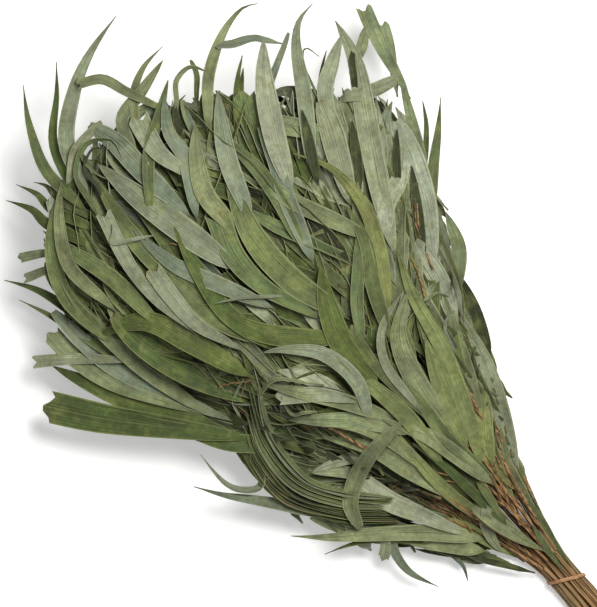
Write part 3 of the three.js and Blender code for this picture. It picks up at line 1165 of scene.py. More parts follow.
@dataclass
class Foliage:
    """The leafy tops and side shoots: twigs with leaves to both sides, each in its branch's own layer."""

    layout: Layout
    finishes: Finishes
    leaves_on_top: int = 24
    leaves_on_stem: int = 8
    leaves_on_shoot: int = 14
    stem_leaf_start: float = 62.0
    length: Span = (95.0, 165.0)
    width_share: Span = (0.075, 0.15)
    angle: Span = (3.0, 36.0)
    stem_angle: Span = (3.0, 16.0)
    bow: float = 34.0
    sunk: float = 0.94
    cover: float = 7.0
    # Multiplies the lightness of every leaf of the tops and shoots, which lie under the mantle: painted shade
    # of the deep layers.
    painted_depth_shade: float = 0.66
    twig_cover: float = 12.0
    twig_diameter: float = 2.4
    twig_sides: int = 7
    shoot_start: float = 104.0
    shoot_step: float = 12.0
    shoot_slope: float = 0.2
    shoot_run: float = 0.62
    fine_grid: tuple[int, int] = (12, 4)
    plain_grid: tuple[int, int] = (8, 2)

    def build(self) -> None:
        """Builds the leafy top of every branch, and the shoots of the outermost branches."""
        shoots = 0
        for branch in self.layout.branches():
            self.build_top(branch)
            if branch.outermost:
                shoots += 1
                self.build_shoot(branch, shoots)

    def leaf(
        self,
        branch: Branch,
        palette: Palette,
        base: Vector,
        heading: float,
        side: int,
        size: float,
        angle: Span,
    ) -> Blade | None:
        """Makes one leaf that lies in its branch's layer, unless there is no room for it inside the rim.

        Args:
            branch: Whose layer it lies in.
            palette: Picks its colour.
            base: Where it leaves the twig.
            heading: The twig's direction there, in radians.
            side: 1 to the left of the twig, -1 to the right.
            size: Its length as a share of a full leaf's.
            angle: The range of its angle to the twig, in degrees.

        Returns:
            The leaf.
        """
        chance = palette.chance
        lift = chance.uniform(-1.0, 1.3)
        arch = chance.uniform(-1.0, 5.0)
        droop = chance.gauss(0.0, 4.0)
        steps = 6
        for attempt in range(8):
            length = chance.uniform(*self.length) * size * 0.9**attempt
            turn = heading + side * math.radians(chance.uniform(*angle)) * 0.85**attempt
            bow = math.radians(chance.gauss(-side * 6.0, self.bow))
            x, y = base.x, base.y
            spine = [base]
            for i in range(1, steps + 1):
                share = i / steps
                direction = turn + bow * (share - 0.3)
                x += math.cos(direction) * length / steps
                y += math.sin(direction) * length / steps
                height = self.sunk * branch.heap.layer(branch.level, x, y, lift * smooth(share, 0.0, 0.4))
                height = min(height, branch.heap.surface(x, y) - self.cover)
                height += arch * math.sin(math.pi * share) + droop * share**3
                spine.append(Vector((x, y, max(1.2, height))))
            if all(OUTLINE.holds(point.x, point.y) for point in spine[2:]):
                break
        else:
            return None
        outer = branch.level >= 5 or branch.outermost or branch.level <= 1
        roll = chance.gauss(0.0, 22.0)
        return Blade(
            spine=spine,
            width=length * chance.uniform(*self.width_share),
            # Each leaf here is darkened by the painted shade of the deep layers.
            colour=palette.shade(palette.tone(x, y), self.painted_depth_shade),
            roll=(roll, roll + chance.gauss(0.0, 36.0)),
            fold=chance.uniform(0.0, 26.0),
            wave=chance.uniform(0.03, 0.3),
            waves=chance.uniform(1.2, 3.4),
            phase=chance.uniform(0.0, 6.0),
            tip=chance.choices(tuple(Tip), (6, 4, 1.5, 0.6))[0],
            grid=self.fine_grid if outer else self.plain_grid,
        )

    def buried(self, branch: Branch, line: list[Vector]) -> list[Vector]:
        """Leads a twig down under the topmost leaves, from its first quarter on.

        Args:
            branch: Whose twig it is.
            line: The middle of the twig.

        Returns:
            The line that it follows instead.
        """
        last = len(line) - 1
        led = []
        for i, point in enumerate(line):
            under = branch.heap.surface(point.x, point.y) - self.twig_cover
            height = lerp(point.z, max(2.0, min(point.z, under)), smooth(i / last, 0.0, 0.25))
            led.append(Vector((point.x, point.y, height)))
        return led

    def twig(self, piece: Piece, line: list[Vector], start: float, end: float) -> None:
        """Adds a tapering twig to a piece, in the piece's second material.

        Args:
            piece: What the twig becomes part of.
            line: The middle of the twig.
            start: Its diameter at its base.
            end: Its diameter at its tip.
        """
        last = len(line) - 1
        section = circle(lambda ring, corner: lerp(start, end, ring / last) / 2.0, self.twig_sides)
        sweep(piece, line, section, self.twig_sides, 1)

    def build_top(self, branch: Branch) -> None:
        """Builds one leafy top, with the leaves that grow lower down on its stem.

        Args:
            branch: Whose top it is.
        """
        palette = Palette(1000 + branch.number)
        chance = palette.chance
        reach = branch.reach
        while not OUTLINE.holds(reach + 12.0, branch.point(reach + 12.0).y):
            reach -= 6.0
        piece = Piece(f"leafy_top_leaves_{branch.number:02d}", self.layout)
        blades = []
        for i in range(self.leaves_on_stem):
            x = lerp(self.stem_leaf_start, branch.top_start, (i + chance.random()) / self.leaves_on_stem)
            side = 1 if i % 2 else -1
            size = chance.uniform(0.6, 0.85)
            base, heading = branch.point(x), branch.heading(x)
            blades.append(self.leaf(branch, palette, base, heading, side, size, self.stem_angle))
        for i in range(self.leaves_on_top):
            share = (i + chance.random()) / self.leaves_on_top
            x = lerp(branch.top_start, reach, share)
            side = 1 if i % 2 else -1
            size = 1.0 - 0.25 * smooth(share, 0.6, 1.0)
            base, heading = branch.point(x), branch.heading(x)
            blades.append(self.leaf(branch, palette, base, heading, side, size, self.angle))
        thicken(piece, [face for blade in blades if blade is not None for face in blade.add_to(piece)])
        line = [branch.point(lerp(branch.top_start - 1.0, reach, i / 20)) for i in range(21)]
        self.twig(piece, self.buried(branch, line), self.twig_diameter + 0.2, 0.9)
        slot = (Slot.SAGE, Slot.GREY_GREEN, Slot.OLIVE)[branch.level % 3]
        materials = (self.finishes.leaves[slot], self.finishes.twig)
        piece.hand_over(materials, f"leafy_top_{branch.number:02d}")

    def build_shoot(self, branch: Branch, number: int) -> None:
        """Builds the side shoot of an outermost branch.

        Args:
            branch: The branch that it grows on.
            number: The number of the shoot.
        """
        palette = Palette(2000 + number)
        chance = palette.chance
        start = self.shoot_start + self.shoot_step * (branch.row % 3)
        low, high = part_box(f"side_shoot_{number:02d}")
        run = self.shoot_run * (high[0] - low[0]) / MM

        def point(share: float) -> Vector:
            """Follows the shoot's middle line.

            Args:
                share: How far along the shoot, from 0 to 1.

            Returns:
                The point of the line.
            """
            x = start + run * share
            y = branch.point(x).y + branch.outermost * (3.0 + self.shoot_slope * run * share)
            return Vector((x, y, branch.heap.layer(branch.level, x, y)))

        while run > self.shoot_step and not OUTLINE.holds(point(1.05).x, point(1.05).y):
            run -= 5.0
        piece = Piece(f"side_shoot_leaves_{number:02d}", self.layout)
        blades = []
        for i in range(self.leaves_on_shoot):
            share = (i + chance.random()) / self.leaves_on_shoot
            base, ahead = point(share), point(share + 0.02)
            heading = math.atan2(ahead.y - base.y, ahead.x - base.x)
            side = branch.outermost if i % 2 else -branch.outermost
            blades.append(self.leaf(branch, palette, base, heading, side, 0.85, self.angle))
        thicken(piece, [face for blade in blades if blade is not None for face in blade.add_to(piece)])
        self.twig(piece, self.buried(branch, [point(i / 12) for i in range(13)]), self.twig_diameter, 0.8)
        slot = (Slot.SAGE, Slot.GREY_GREEN, Slot.OLIVE)[branch.level % 3]
        piece.hand_over((self.finishes.leaves[slot], self.finishes.twig), f"side_shoot_{number:02d}")


class Form(Enum):
    """How a dried leaf lies: the ranges of its fold, its roll, and its twist from base to tip, in degrees."""

    FLAT = ((0.0, 20.0), (-20.0, 20.0), (-25.0, 25.0))
    FOLDED = ((42.0, 72.0), (-35.0, 35.0), (-30.0, 30.0))
    ON_EDGE = ((4.0, 24.0), (46.0, 76.0), (-25.0, 10.0))
    TWISTED = ((4.0, 24.0), (-50.0, -10.0), (50.0, 100.0))


@dataclass
class Mantle:
    """The upper leaves of the heap, lying along its currents like shingles, each tip over the next base."""

    layout: Layout
    finishes: Finishes
    spacing: float = 12.0
    scatter: float = 7.0
    length: Span = (58.0, 128.0)
    width: Span = (7.0, 17.0)
    narrow_share: float = 0.16
    narrow_width: Span = (3.0, 6.0)
    unruliness: float = 10.0
    stray_share: float = 0.14
    stray_angle: float = 30.0
    bow: float = 16.0
    base_depth: float = 12.0
    tip_depth: float = 2.5
    bare_neck: tuple[Span, Span] = ((-100.0, 130.0), (-24.0, 20.0))
    steps: int = 6
    grid: tuple[int, int] = (12, 4)

    def build(self) -> None:
        """Builds the mantle, one piece for each leaf slot and each side of the fan."""
        palette = Palette(77)
        heap = Heap(bundle_middle=self.layout.tie().z / MM)
        leaves: dict[tuple[str, Slot], list[Blade]] = {}
        seeds = [
            (x * self.spacing, y * self.spacing)
            for x in range(5, round(530 / self.spacing))
            for y in range(-round(170 / self.spacing), round(200 / self.spacing))
        ]
        for x, y in seeds:
            x += palette.chance.uniform(-1, 1) * self.scatter
            y += palette.chance.uniform(-1, 1) * self.scatter
            along_neck, across_neck = self.bare_neck
            bare = along_neck[0] < x < along_neck[1] and across_neck[0] < y < across_neck[1]
            if bare or not OUTLINE.holds(x, y):
                continue
            tone = palette.tone(x, y)
            part = "near" if x < 240 else "left" if y > 50 else "right"
            blade = self.leaf(heap, palette, x, y, tone)
            if blade is not None:
                leaves.setdefault((part, tone.value.slot), []).append(blade)
        for (part, slot), blades in leaves.items():
            piece = Piece(f"mantle_{part}_{slot.name.lower()}", self.layout)
            sheets = [face for blade in blades for face in blade.add_to(piece)]
            thicken(piece, sheets)
            piece.hand_over((self.finishes.leaves[slot],))

    def leaf(self, heap: Heap, palette: Palette, x: float, y: float, tone: Tone) -> Blade | None:
        """Makes one leaf whose middle is near a point of the plan, if there is room for it inside the rim.

        Args:
            heap: What it lies on.
            palette: Picks its shade and chances.
            x: Where its middle is, along the bunch.
            y: Where its middle is, across the bunch.
            tone: Its colour.

        Returns:
            The leaf.
        """
        chance = palette.chance
        length = chance.uniform(*self.length) * lerp(0.62, 1.0, smooth(x, 60.0, 260.0))
        stray = chance.random() < self.stray_share
        for attempt in range(8):
            off = math.radians(chance.gauss(0.0, self.stray_angle if stray else self.unruliness))
            bow = math.radians(chance.gauss(0.0, self.bow))
            back = self.walk(x, y, math.pi + off, bow, length / 2.0)
            ahead = self.walk(x, y, off, bow, length / 2.0)
            route = back[::-1] + [(x, y)] + ahead
            if all(OUTLINE.holds(*point) for point in route[2:]):
                break
            length *= 0.9
        else:
            return None
        raised = chance.uniform(-6.0, 2.0) + 3.0 * stray
        last = len(route) - 1
        spine = []
        for i, (px, py) in enumerate(route):
            height = heap.surface(px, py) + raised - lerp(self.base_depth, self.tip_depth, i / last)
            spine.append(Vector((px, py, max(1.5, height))))
        form = chance.choices(tuple(Form), (5, 2.0, 1.5, 2.0))[0]
        fold, roll, twist = form.value
        turned = chance.uniform(*roll) * chance.choice((-1, 1))
        narrow = chance.random() < self.narrow_share
        return Blade(
            spine=spine,
            width=chance.uniform(*(self.narrow_width if narrow else self.width)),
            colour=palette.shade(tone),
            roll=(turned, turned + chance.uniform(*twist) * chance.choice((-1, 1))),
            fold=chance.uniform(*fold),
            wave=chance.uniform(0.03, 0.22),
            waves=chance.uniform(1.0, 3.0),
            phase=chance.uniform(0.0, 6.0),
            tip=chance.choices(tuple(Tip), (6, 4, 1.5, 0.7))[0],
            grid=self.grid,
        )

    def walk(self, x: float, y: float, off: float, bow: float, length: float) -> list[Point]:
        """Follows the currents from a point.

        Args:
            x: Where to start, along the bunch.
            y: Where to start, across the bunch.
            off: How far to keep to the side of the current, in radians; half a turn goes against it.
            bow: How much that grows over the whole length, in radians.
            length: How far to go, in millimetres.

        Returns:
            The points passed, without the first.
        """
        points = []
        half = self.steps // 2
        for i in range(half):
            backward = math.cos(off) < 0.0
            direction = heading_at(x, y) + off + bow * (i + 0.5) / half * (-1.0 if backward else 1.0)
            x += math.cos(direction) * length / half
            y += math.sin(direction) * length / half
            points.append((x, y))
        return points


@dataclass(frozen=True)
class Strand:
    """One leaf that is placed on top of the heap.

    Attributes:
        tone: Its colour.
        width: Its full width.
        route: Points of the plan that it is led through, from its base to its tip.
        lift: How far its base and its tip lie over the topmost leaves.
        tip: How it ends.
        roll: How far it is turned about its spine at its base and at its tip, in degrees.
    """

    tone: Tone
    width: float
    route: tuple[Point, ...]
    lift: Span = (0.0, 4.0)
    tip: Tip = Tip.POINTED
    roll: Span = (0.0, 0.0)


LEFT_WING = (
    Strand(Tone.OLIVE, 27, ((258, 126), (300, 164), (342, 202), (377, 229)), (1, 3), Tip.CUT, (4, -6)),
    Strand(Tone.OLIVE, 20, ((290, 142), (335, 174), (372, 193), (399, 205)), (0, 1), Tip.POINTED, (-8, 6)),
    Strand(Tone.PALE, 9, ((366, 158), (386, 180), (400, 198), (411, 214)), (4, 5), Tip.CUT, (0, 12)),
    Strand(Tone.SAGE, 14, ((305, 146), (355, 176), (392, 187), (420, 189)), (2, 2), Tip.CUT, (10, 0)),
    Strand(Tone.BLUE_GREY, 15, ((282, 128), (330, 152), (375, 170), (432, 176)), (1, 2), Tip.BLUNT, (-6, 8)),
    Strand(Tone.SAGE, 14, ((296, 136), (350, 150), (405, 157), (452, 154)), (3, 2), Tip.POINTED, (6, -10)),
    Strand(Tone.OLIVE, 27, ((282, 104), (322, 124), (362, 136), (398, 140)), (2, 3), Tip.BLUNT, (-4, 8)),
    Strand(Tone.OLIVE, 22, ((300, 92), (340, 106), (378, 124), (394, 160)), (3, 4), Tip.POINTED, (6, -12)),
    Strand(Tone.GREEN, 8, ((372, 162), (412, 174), (436, 182), (457, 191)), (0, -6), Tip.TAPERED, (12, 30)),
    Strand(Tone.OLIVE, 9, ((398, 160), (434, 168), (456, 176), (477, 190)), (-1, -8), Tip.TAPERED, (0, 24)),
    Strand(Tone.SAGE, 8, ((448, 150), (459, 158), (467, 176)), (-3, -4), Tip.CUT, (20, 34)),
    Strand(Tone.SAGE, 7, ((462, 142), (472, 151), (482, 169)), (-3, -6), Tip.CUT, (-20, -10)),
    Strand(Tone.OLIVE, 10, ((462, 122), (489, 134), (505, 136), (524, 147)), (-2, -8), Tip.TAPERED, (8, -14)),
    Strand(Tone.OLIVE, 9, ((470, 112), (495, 124), (512, 125), (529, 133)), (-2, -10), Tip.TAPERED, (0, 22)),
    Strand(Tone.GREEN, 8, ((478, 106), (500, 114), (512, 115), (521, 121)), (-3, -9), Tip.TAPERED, (0, -20)),
    Strand(Tone.GREEN, 16, ((388, 156), (432, 160), (470, 144), (498, 116)), (3, 1), Tip.POINTED, (6, -16)),
    Strand(Tone.SAGE, 12, ((412, 138), (450, 142), (482, 126), (506, 104)), (4, 1), Tip.POINTED, (-8, 12)),
    Strand(Tone.GREEN, 15, ((378, 118), (420, 122), (455, 132), (486, 140)), (1, 0), Tip.POINTED, (0, 20)),
)

FAR_TIPS = (
    Strand(Tone.GREEN, 10, ((486, 104), (522, 107), (558, 94), (586, 77)), (1, -14), Tip.TAPERED, (0, 24)),
    Strand(Tone.OLIVE, 9, ((498, 100), (534, 88), (562, 62), (583, 45)), (0, -16), Tip.TAPERED, (-12, -34)),
    Strand(Tone.PALE, 14, ((492, 92), (528, 80), (556, 48), (571, 18), (580, -16)),
           (3, -12), Tip.TAPERED, (0, 20)),
    Strand(Tone.SAGE, 9, ((502, 6), (528, 18), (548, 26), (557, 43)), (1, 2), Tip.CUT, (0, 40)),
    Strand(Tone.BLUE_GREY, 20, ((430, 44), (468, 48), (502, 50), (526, 58)), (2, 1), Tip.BLUNT, (10, -20)),
    Strand(Tone.GREEN, 8, ((478, 96), (503, 90), (516, 70), (506, 52), (490, 54)),
           (5, 2), Tip.POINTED, (40, 70)),
    Strand(Tone.DEEP, 6, ((484, 84), (502, 82), (510, 68), (500, 57)), (6, 3), Tip.POINTED, (50, 70)),
    Strand(Tone.PALE, 9, ((506, 94), (517, 80), (521, 62), (522, 48)), (4, 1), Tip.BLUNT, (10, 40)),
    Strand(Tone.SAGE, 11, ((492, 42), (513, 34), (520, 8), (528, -21)), (2, -3), Tip.POINTED, (-10, 12)),
    Strand(Tone.SAGE, 8, ((500, 30), (522, 14), (534, -6), (537, -28)), (0, -8), Tip.TAPERED, (0, -26)),
    Strand(Tone.PALE, 17, ((452, 24), (476, 29), (505, 24)), (4, 3), Tip.CUT, (-6, 8)),
    Strand(Tone.GREEN, 11, ((448, 60), (478, 36), (496, 10), (513, -14)), (3, 0), Tip.POINTED, (0, 26)),
    Strand(Tone.SAGE, 6, ((496, -8), (509, -18), (510, -34), (497, -42)), (-2, -6), Tip.POINTED, (30, 60)),
    Strand(Tone.GREEN, 5, ((490, -24), (502, -34), (514, -38)), (-3, -6), Tip.BLUNT, (0, 30)),
)

MIDDLE = (
    Strand(Tone.GREEN, 22, ((296, 54), (336, 76), (388, 84), (440, 88), (496, 80)),
           (1, 3), Tip.POINTED, (8, -10)),
    Strand(Tone.BLUE_GREY, 26, ((372, 44), (414, 54), (456, 64), (498, 72)), (2, 3), Tip.POINTED, (-6, 10)),
    Strand(Tone.PALE, 13, ((322, 84), (350, 94), (378, 95), (405, 93)), (4, 6), Tip.CUT, (6, 0)),
    Strand(Tone.PALE, 11, ((352, 100), (388, 106), (424, 104), (464, 94)), (4, 6), Tip.CUT, (-8, 10)),
    Strand(Tone.BLUE_GREY, 14, ((330, 44), (366, 62), (400, 78), (440, 84)), (3, 4), Tip.POINTED, (10, -8)),
    Strand(Tone.GREEN, 20, ((300, 20), (338, 34), (372, 36), (405, 26)), (2, 4), Tip.CUT, (6, -8)),
    Strand(Tone.GREEN, 26, ((286, 2), (330, 14), (378, 14), (430, -4)), (2, 3), Tip.POINTED, (-6, 6)),
    Strand(Tone.SAGE, 18, ((392, 22), (424, 22), (452, 8), (472, -8)), (3, 3), Tip.POINTED, (0, 14)),
    Strand(Tone.BLUE_GREY, 13, ((424, 34), (456, 16), (482, 12), (506, -4)), (3, 2), Tip.POINTED, (14, -6)),
    Strand(Tone.OLIVE, 17, ((304, 62), (342, 70), (382, 66), (420, 58)), (3, 4), Tip.POINTED, (0, 18)),
    Strand(Tone.OLIVE, 20, ((272, 20), (292, 42), (316, 62), (352, 76)), (2, 4), Tip.POINTED, (10, -6)),
    Strand(Tone.OLIVE, 24, ((228, 16), (262, 16), (296, 4), (322, -12)), (3, 5), Tip.POINTED, (-8, 6)),
    Strand(Tone.PALE, 19, ((396, 4), (430, -8), (456, -22), (480, -38)), (2, 3), Tip.POINTED, (6, -10)),
    Strand(Tone.GREEN, 15, ((350, -12), (384, -20), (416, -22), (452, -18)), (3, 2), Tip.POINTED, (-10, 14)),
    Strand(Tone.PALE, 3, ((328, 34), (342, 52), (353, 72)), (7, 9), Tip.POINTED, (20, 20)),
    Strand(Tone.SILVER, 4, ((432, 86), (442, 104), (448, 98), (454, 93)), (7, 8), Tip.POINTED, (30, 30)),
)

RIGHT_WING = (
    Strand(Tone.PALE, 24, ((298, -66), (340, -88), (386, -114), (428, -138), (464, -147)),
           (3, 2), Tip.POINTED, (4, -6)),
    Strand(Tone.SILVER, 26, ((272, -86), (304, -106), (340, -122), (372, -132)), (2, 2), Tip.BLUNT, (-4, 8)),
    Strand(Tone.SILVER, 23, ((392, -36), (424, -50), (460, -70), (489, -93)), (4, 4), Tip.POINTED, (-6, 10)),
    Strand(Tone.BLUE_GREY, 9, ((488, -93), (494, -88), (501, -74), (509, -62)), (3, 1), Tip.CUT, (30, 50)),
    Strand(Tone.SAGE, 10, ((468, -18), (494, -40), (512, -68), (519, -94), (514, -108)),
           (3, -4), Tip.TAPERED, (0, 20)),
    Strand(Tone.PALE, 14, ((392, -60), (432, -88), (466, -108), (482, -124), (486, -142)),
           (2, -2), Tip.TAPERED, (6, -18)),
    Strand(Tone.SAGE, 12, ((392, -156), (424, -162), (457, -172)), (0, -2), Tip.CUT, (0, 20)),
    Strand(Tone.SAGE, 9, ((398, -154), (418, -166), (438, -176)), (-3, -6), Tip.CUT, (10, 30)),
    Strand(Tone.GREEN, 10, ((296, -104), (322, -130), (345, -155), (363, -173)),
           (-2, -10), Tip.TAPERED, (0, 18)),
    Strand(Tone.YELLOW_GREEN, 13, ((262, -30), (296, -52), (334, -68), (374, -68), (404, -52)),
           (5, 6), Tip.TAPERED, (8, -16)),
    Strand(Tone.PALE, 23, ((352, -66), (378, -78), (400, -88), (422, -96)), (2, 4), Tip.BLUNT, (6, -10)),
    Strand(Tone.PALE, 14, ((404, -92), (426, -104), (440, -124), (452, -144)), (4, 2), Tip.POINTED, (-8, 12)),
    Strand(Tone.PALE, 12, ((410, -116), (402, -134), (396, -158)), (2, 0), Tip.BLUNT, (0, 24)),
    Strand(Tone.SAGE, 9, ((332, -128), (362, -142), (396, -158)), (-1, -2), Tip.POINTED, (8, -16)),
    Strand(Tone.BLUE_GREY, 17, ((338, -12), (376, -24), (406, -36), (438, -44)),
           (2, 3), Tip.POINTED, (8, -8)),
    Strand(Tone.SAGE, 16, ((322, -52), (352, -38), (384, -24), (418, -20)), (3, 3), Tip.POINTED, (-8, 10)),
    Strand(Tone.OLIVE, 6, ((455, -36), (472, -50), (490, -72)), (-2, -8), Tip.POINTED, (20, 50)),
    Strand(Tone.OLIVE, 6, ((448, -38), (466, -50), (482, -66)), (-3, -8), Tip.POINTED, (-30, -10)),
    Strand(Tone.BLUE_GREY, 7, ((452, -62), (464, -84), (480, -112)), (-2, -6), Tip.BLUNT, (20, 50)),
    Strand(Tone.SAGE, 3, ((424, -96), (452, -104), (462, -114), (450, -118)),
           (-1, -3), Tip.POINTED, (40, 60)),
    Strand(Tone.DEEP, 3, ((428, -98), (440, -112), (450, -126)), (-2, -4), Tip.POINTED, (40, 20)),
    Strand(Tone.SAGE, 10, ((430, -140), (436, -152), (444, -163)), (0, -3), Tip.BLUNT, (10, 30)),
    Strand(Tone.SILVER, 18, ((312, -70), (326, -84), (334, -104), (352, -124)),
           (5, 5), Tip.POINTED, (10, -8)),
    Strand(Tone.OLIVE, 5, ((336, -134), (354, -150), (370, -160)), (-6, -12), Tip.POINTED, (10, 40)),
    # Dark strips laid over the heap: a painted shadow where gaps show between the pale leaves.
    Strand(Tone.DEEP, 9, ((360, -83), (377, -94), (394, -105)), (6, 7), Tip.POINTED, (0, 10)),
    Strand(Tone.DEEP, 6, ((338, -106), (352, -117), (366, -129)), (6, 6), Tip.POINTED, (10, -10)),
    Strand(Tone.DEEP, 9, ((282, -84), (308, -101), (336, -119)), (5, 5), Tip.POINTED, (-10, 0)),
    Strand(Tone.DEEP, 8, ((384, -58), (404, -69), (426, -80)), (6, 6), Tip.POINTED, (0, 10)),
    Strand(Tone.DEEP, 6, ((418, -128), (430, -136), (440, -146)), (4, 2), Tip.POINTED, (0, 10)),
)

RIGHT_RIM = (
    Strand(Tone.GREEN, 9, ((66, -15), (46, -14), (26, -11), (5, -10)), (1, 1), Tip.TAPERED, (0, 10)),
    Strand(Tone.GREEN, 5, ((52, -7), (36, -5), (20, -3), (5, -3)), (2, 2), Tip.TAPERED, (0, 16)),
    Strand(Tone.OLIVE, 7, ((26, -13), (62, -18), (92, -25), (116, -34)), (-3, -3), Tip.POINTED, (-10, -20)),
    Strand(Tone.SAGE, 9, ((52, -15), (80, -19), (104, -25), (128, -38)), (0, 2), Tip.POINTED, (-10, 0)),
    Strand(Tone.PALE, 18, ((96, -26), (134, -45), (176, -62), (218, -73)), (-3, 0), Tip.POINTED, (-10, 6)),
    Strand(Tone.YELLOW_GREEN, 17, ((118, -16), (138, -28), (161, -46)), (1, 3), Tip.BLUNT, (-6, 6)),
    Strand(Tone.SAGE, 10, ((158, -38), (186, -50), (216, -62), (240, -72)), (2, 2), Tip.POINTED, (10, -6)),
    Strand(Tone.YELLOW_GREEN, 15, ((120, -8), (164, -28), (212, -44), (256, -52), (292, -66)),
           (2, 4), Tip.POINTED, (8, -8)),
    Strand(Tone.SAGE, 21, ((158, -6), (200, -10), (238, -22), (261, -50)), (3, 5), Tip.POINTED, (-6, -14)),
    Strand(Tone.YELLOW_GREEN, 18, ((142, -8), (180, -20), (224, -38)), (3, 4), Tip.POINTED, (4, 14)),
    Strand(Tone.PALE, 8, ((192, 2), (228, 0), (252, -16), (263, -46)), (5, 5), Tip.POINTED, (-10, 30)),
    Strand(Tone.SILVER, 18, ((222, -66), (248, -76), (288, -82)), (1, 3), Tip.BLUNT, (6, -6)),
    Strand(Tone.DEEP, 11, ((190, -74), (216, -84), (244, -92)), (-6, -5), Tip.POINTED, (-20, 0)),
    Strand(Tone.SAGE, 13, ((244, -90), (262, -106), (290, -116)), (-5, -4), Tip.POINTED, (-10, 6)),
    Strand(Tone.PALE, 3, ((204, -50), (221, -56), (224, -70), (212, -78)), (5, 4), Tip.POINTED, (30, 50)),
    Strand(Tone.SAGE, 3, ((247, -58), (245, -68), (236, -74)), (5, 4), Tip.POINTED, (30, 50)),
    Strand(Tone.GREEN, 14, ((252, -20), (284, -34), (312, -50), (344, -58)), (4, 5), Tip.POINTED, (-10, 10)),
    Strand(Tone.GREEN, 12, ((262, -2), (280, -14), (302, -34), (324, -52)), (4, 4), Tip.POINTED, (10, -12)),
)

LOWER_MIDDLE = (
    Strand(Tone.SAGE, 14, ((88, 17), (72, 13), (50, 7), (27, -2)), (2, 3), Tip.TAPERED, (-6, 8)),
    Strand(Tone.PALE, 11, ((84, 15), (76, 21), (64, 25), (50, 26)), (5, 3), Tip.POINTED, (-10, 10)),
    Strand(Tone.GREEN, 7, ((100, 4), (84, 6), (70, 9)), (3, 3), Tip.POINTED, (10, -10)),
    Strand(Tone.YELLOW_GREEN, 11, ((66, 14), (106, 26), (146, 30), (186, 28)), (2, 4), Tip.POINTED, (8, -8)),
    Strand(Tone.OLIVE, 8, ((62, 6), (98, 12), (134, 16), (166, 24)), (1, 3), Tip.POINTED, (0, 20)),
    Strand(Tone.SAGE, 15, ((108, -2), (138, 4), (164, 12), (196, 30)), (3, 5), Tip.POINTED, (-6, 10)),
    Strand(Tone.GREEN, 8, ((184, 4), (226, 7), (269, 3)), (4, 5), Tip.CUT, (0, 6)),
    Strand(Tone.PALE, 13, ((206, 36), (234, 26), (266, 32), (288, 52), (298, 68)),
           (5, 6), Tip.POINTED, (8, -20)),
    Strand(Tone.YELLOW_GREEN, 17, ((146, 16), (182, 14), (214, 18), (250, 26)), (3, 4), Tip.POINTED, (0, 12)),
    Strand(Tone.SAGE, 14, ((178, 22), (206, 44), (226, 66), (244, 88)), (3, 5), Tip.POINTED, (10, -10)),
    Strand(Tone.SAGE, 14, ((196, 26), (226, 44), (252, 64), (278, 84)), (2, 4), Tip.POINTED, (-10, 12)),
    Strand(Tone.PALE, 12, ((226, 40), (244, 56), (264, 82)), (4, 6), Tip.CUT, (8, -8)),
    Strand(Tone.SILVER, 10, ((178, 52), (190, 74), (200, 100)), (5, 6), Tip.POINTED, (0, 14)),
    Strand(Tone.SAGE, 16, ((116, 28), (150, 40), (184, 52), (216, 76)), (2, 3), Tip.POINTED, (6, -14)),
    Strand(Tone.SAGE, 13, ((150, 30), (180, 36), (210, 52), (232, 80)), (3, 4), Tip.POINTED, (-10, 10)),
    Strand(Tone.GREEN, 12, ((112, -6), (150, 0), (190, -2), (226, 2)), (2, 4), Tip.POINTED, (0, -18)),
)

LEFT_RIM = (
    Strand(Tone.SAGE, 16, ((74, 36), (102, 62), (128, 94), (150, 124), (171, 147)),
           (1, 2), Tip.TAPERED, (6, -10)),
    Strand(Tone.OLIVE, 7, ((92, 62), (118, 88), (134, 114), (142, 136)), (0, -4), Tip.TAPERED, (0, 30)),
    Strand(Tone.BLUE_GREY, 8, ((119, 84), (106, 92), (86, 93), (62, 83)), (-2, -6), Tip.TAPERED, (10, -20)),
    Strand(Tone.PALE, 9, ((121, 90), (113, 96), (109, 103)), (0, 0), Tip.CUT, (0, 30)),
    Strand(Tone.BLUE_GREY, 4, ((76, 58), (62, 57), (50, 62)), (-4, -6), Tip.POINTED, (10, 30)),
    Strand(Tone.SILVER, 18, ((88, 42), (116, 56), (140, 68), (166, 76)), (3, 5), Tip.CUT, (-6, 8)),
    Strand(Tone.SAGE, 15, ((184, 28), (182, 50), (174, 74), (160, 94), (140, 100)),
           (11, 11), Tip.BLUNT, (-6, 10)),
    Strand(Tone.BLUE_GREY, 10, ((168, 116), (204, 144), (230, 166), (252, 181)),
           (-2, -6), Tip.TAPERED, (0, 24)),
    Strand(Tone.PALE, 7, ((226, 130), (217, 140), (223, 152), (238, 160), (268, 160)),
           (0, -4), Tip.TAPERED, (20, 50)),
    Strand(Tone.GREEN, 6, ((198, 132), (220, 136), (240, 138)), (0, -2), Tip.POINTED, (10, 30)),
    Strand(Tone.OLIVE, 18, ((238, 112), (264, 138), (300, 162)), (0, 1), Tip.POINTED, (-10, 8)),
    Strand(Tone.DEEP, 6, ((20, 16), (38, 29), (56, 42), (77, 53)), (-3, 0), Tip.POINTED, (20, 40)),
    Strand(Tone.SAGE, 14, ((58, 34), (72, 46), (88, 60), (104, 78)), (0, 1), Tip.POINTED, (-10, 8)),
    Strand(Tone.DEEP, 9, ((70, 52), (92, 66), (114, 82), (128, 104)), (-3, 0), Tip.POINTED, (-20, 10)),
    Strand(Tone.SAGE, 4, ((258, 58), (275, 74), (273, 92), (256, 104), (236, 106)),
           (6, 6), Tip.POINTED, (40, 60)),
    Strand(Tone.SAGE, 4, ((240, 74), (246, 83), (262, 80)), (7, 7), Tip.POINTED, (40, 60)),
    Strand(Tone.PALE, 10, ((180, 78), (190, 88), (199, 101)), (4, 6), Tip.POINTED, (10, -10)),
    Strand(Tone.PALE, 3, ((268, 96), (282, 112), (296, 118)), (5, 7), Tip.POINTED, (40, 60)),
    Strand(Tone.PALE, 3, ((272, 116), (284, 112), (292, 94)), (5, 7), Tip.POINTED, (40, 60)),
)


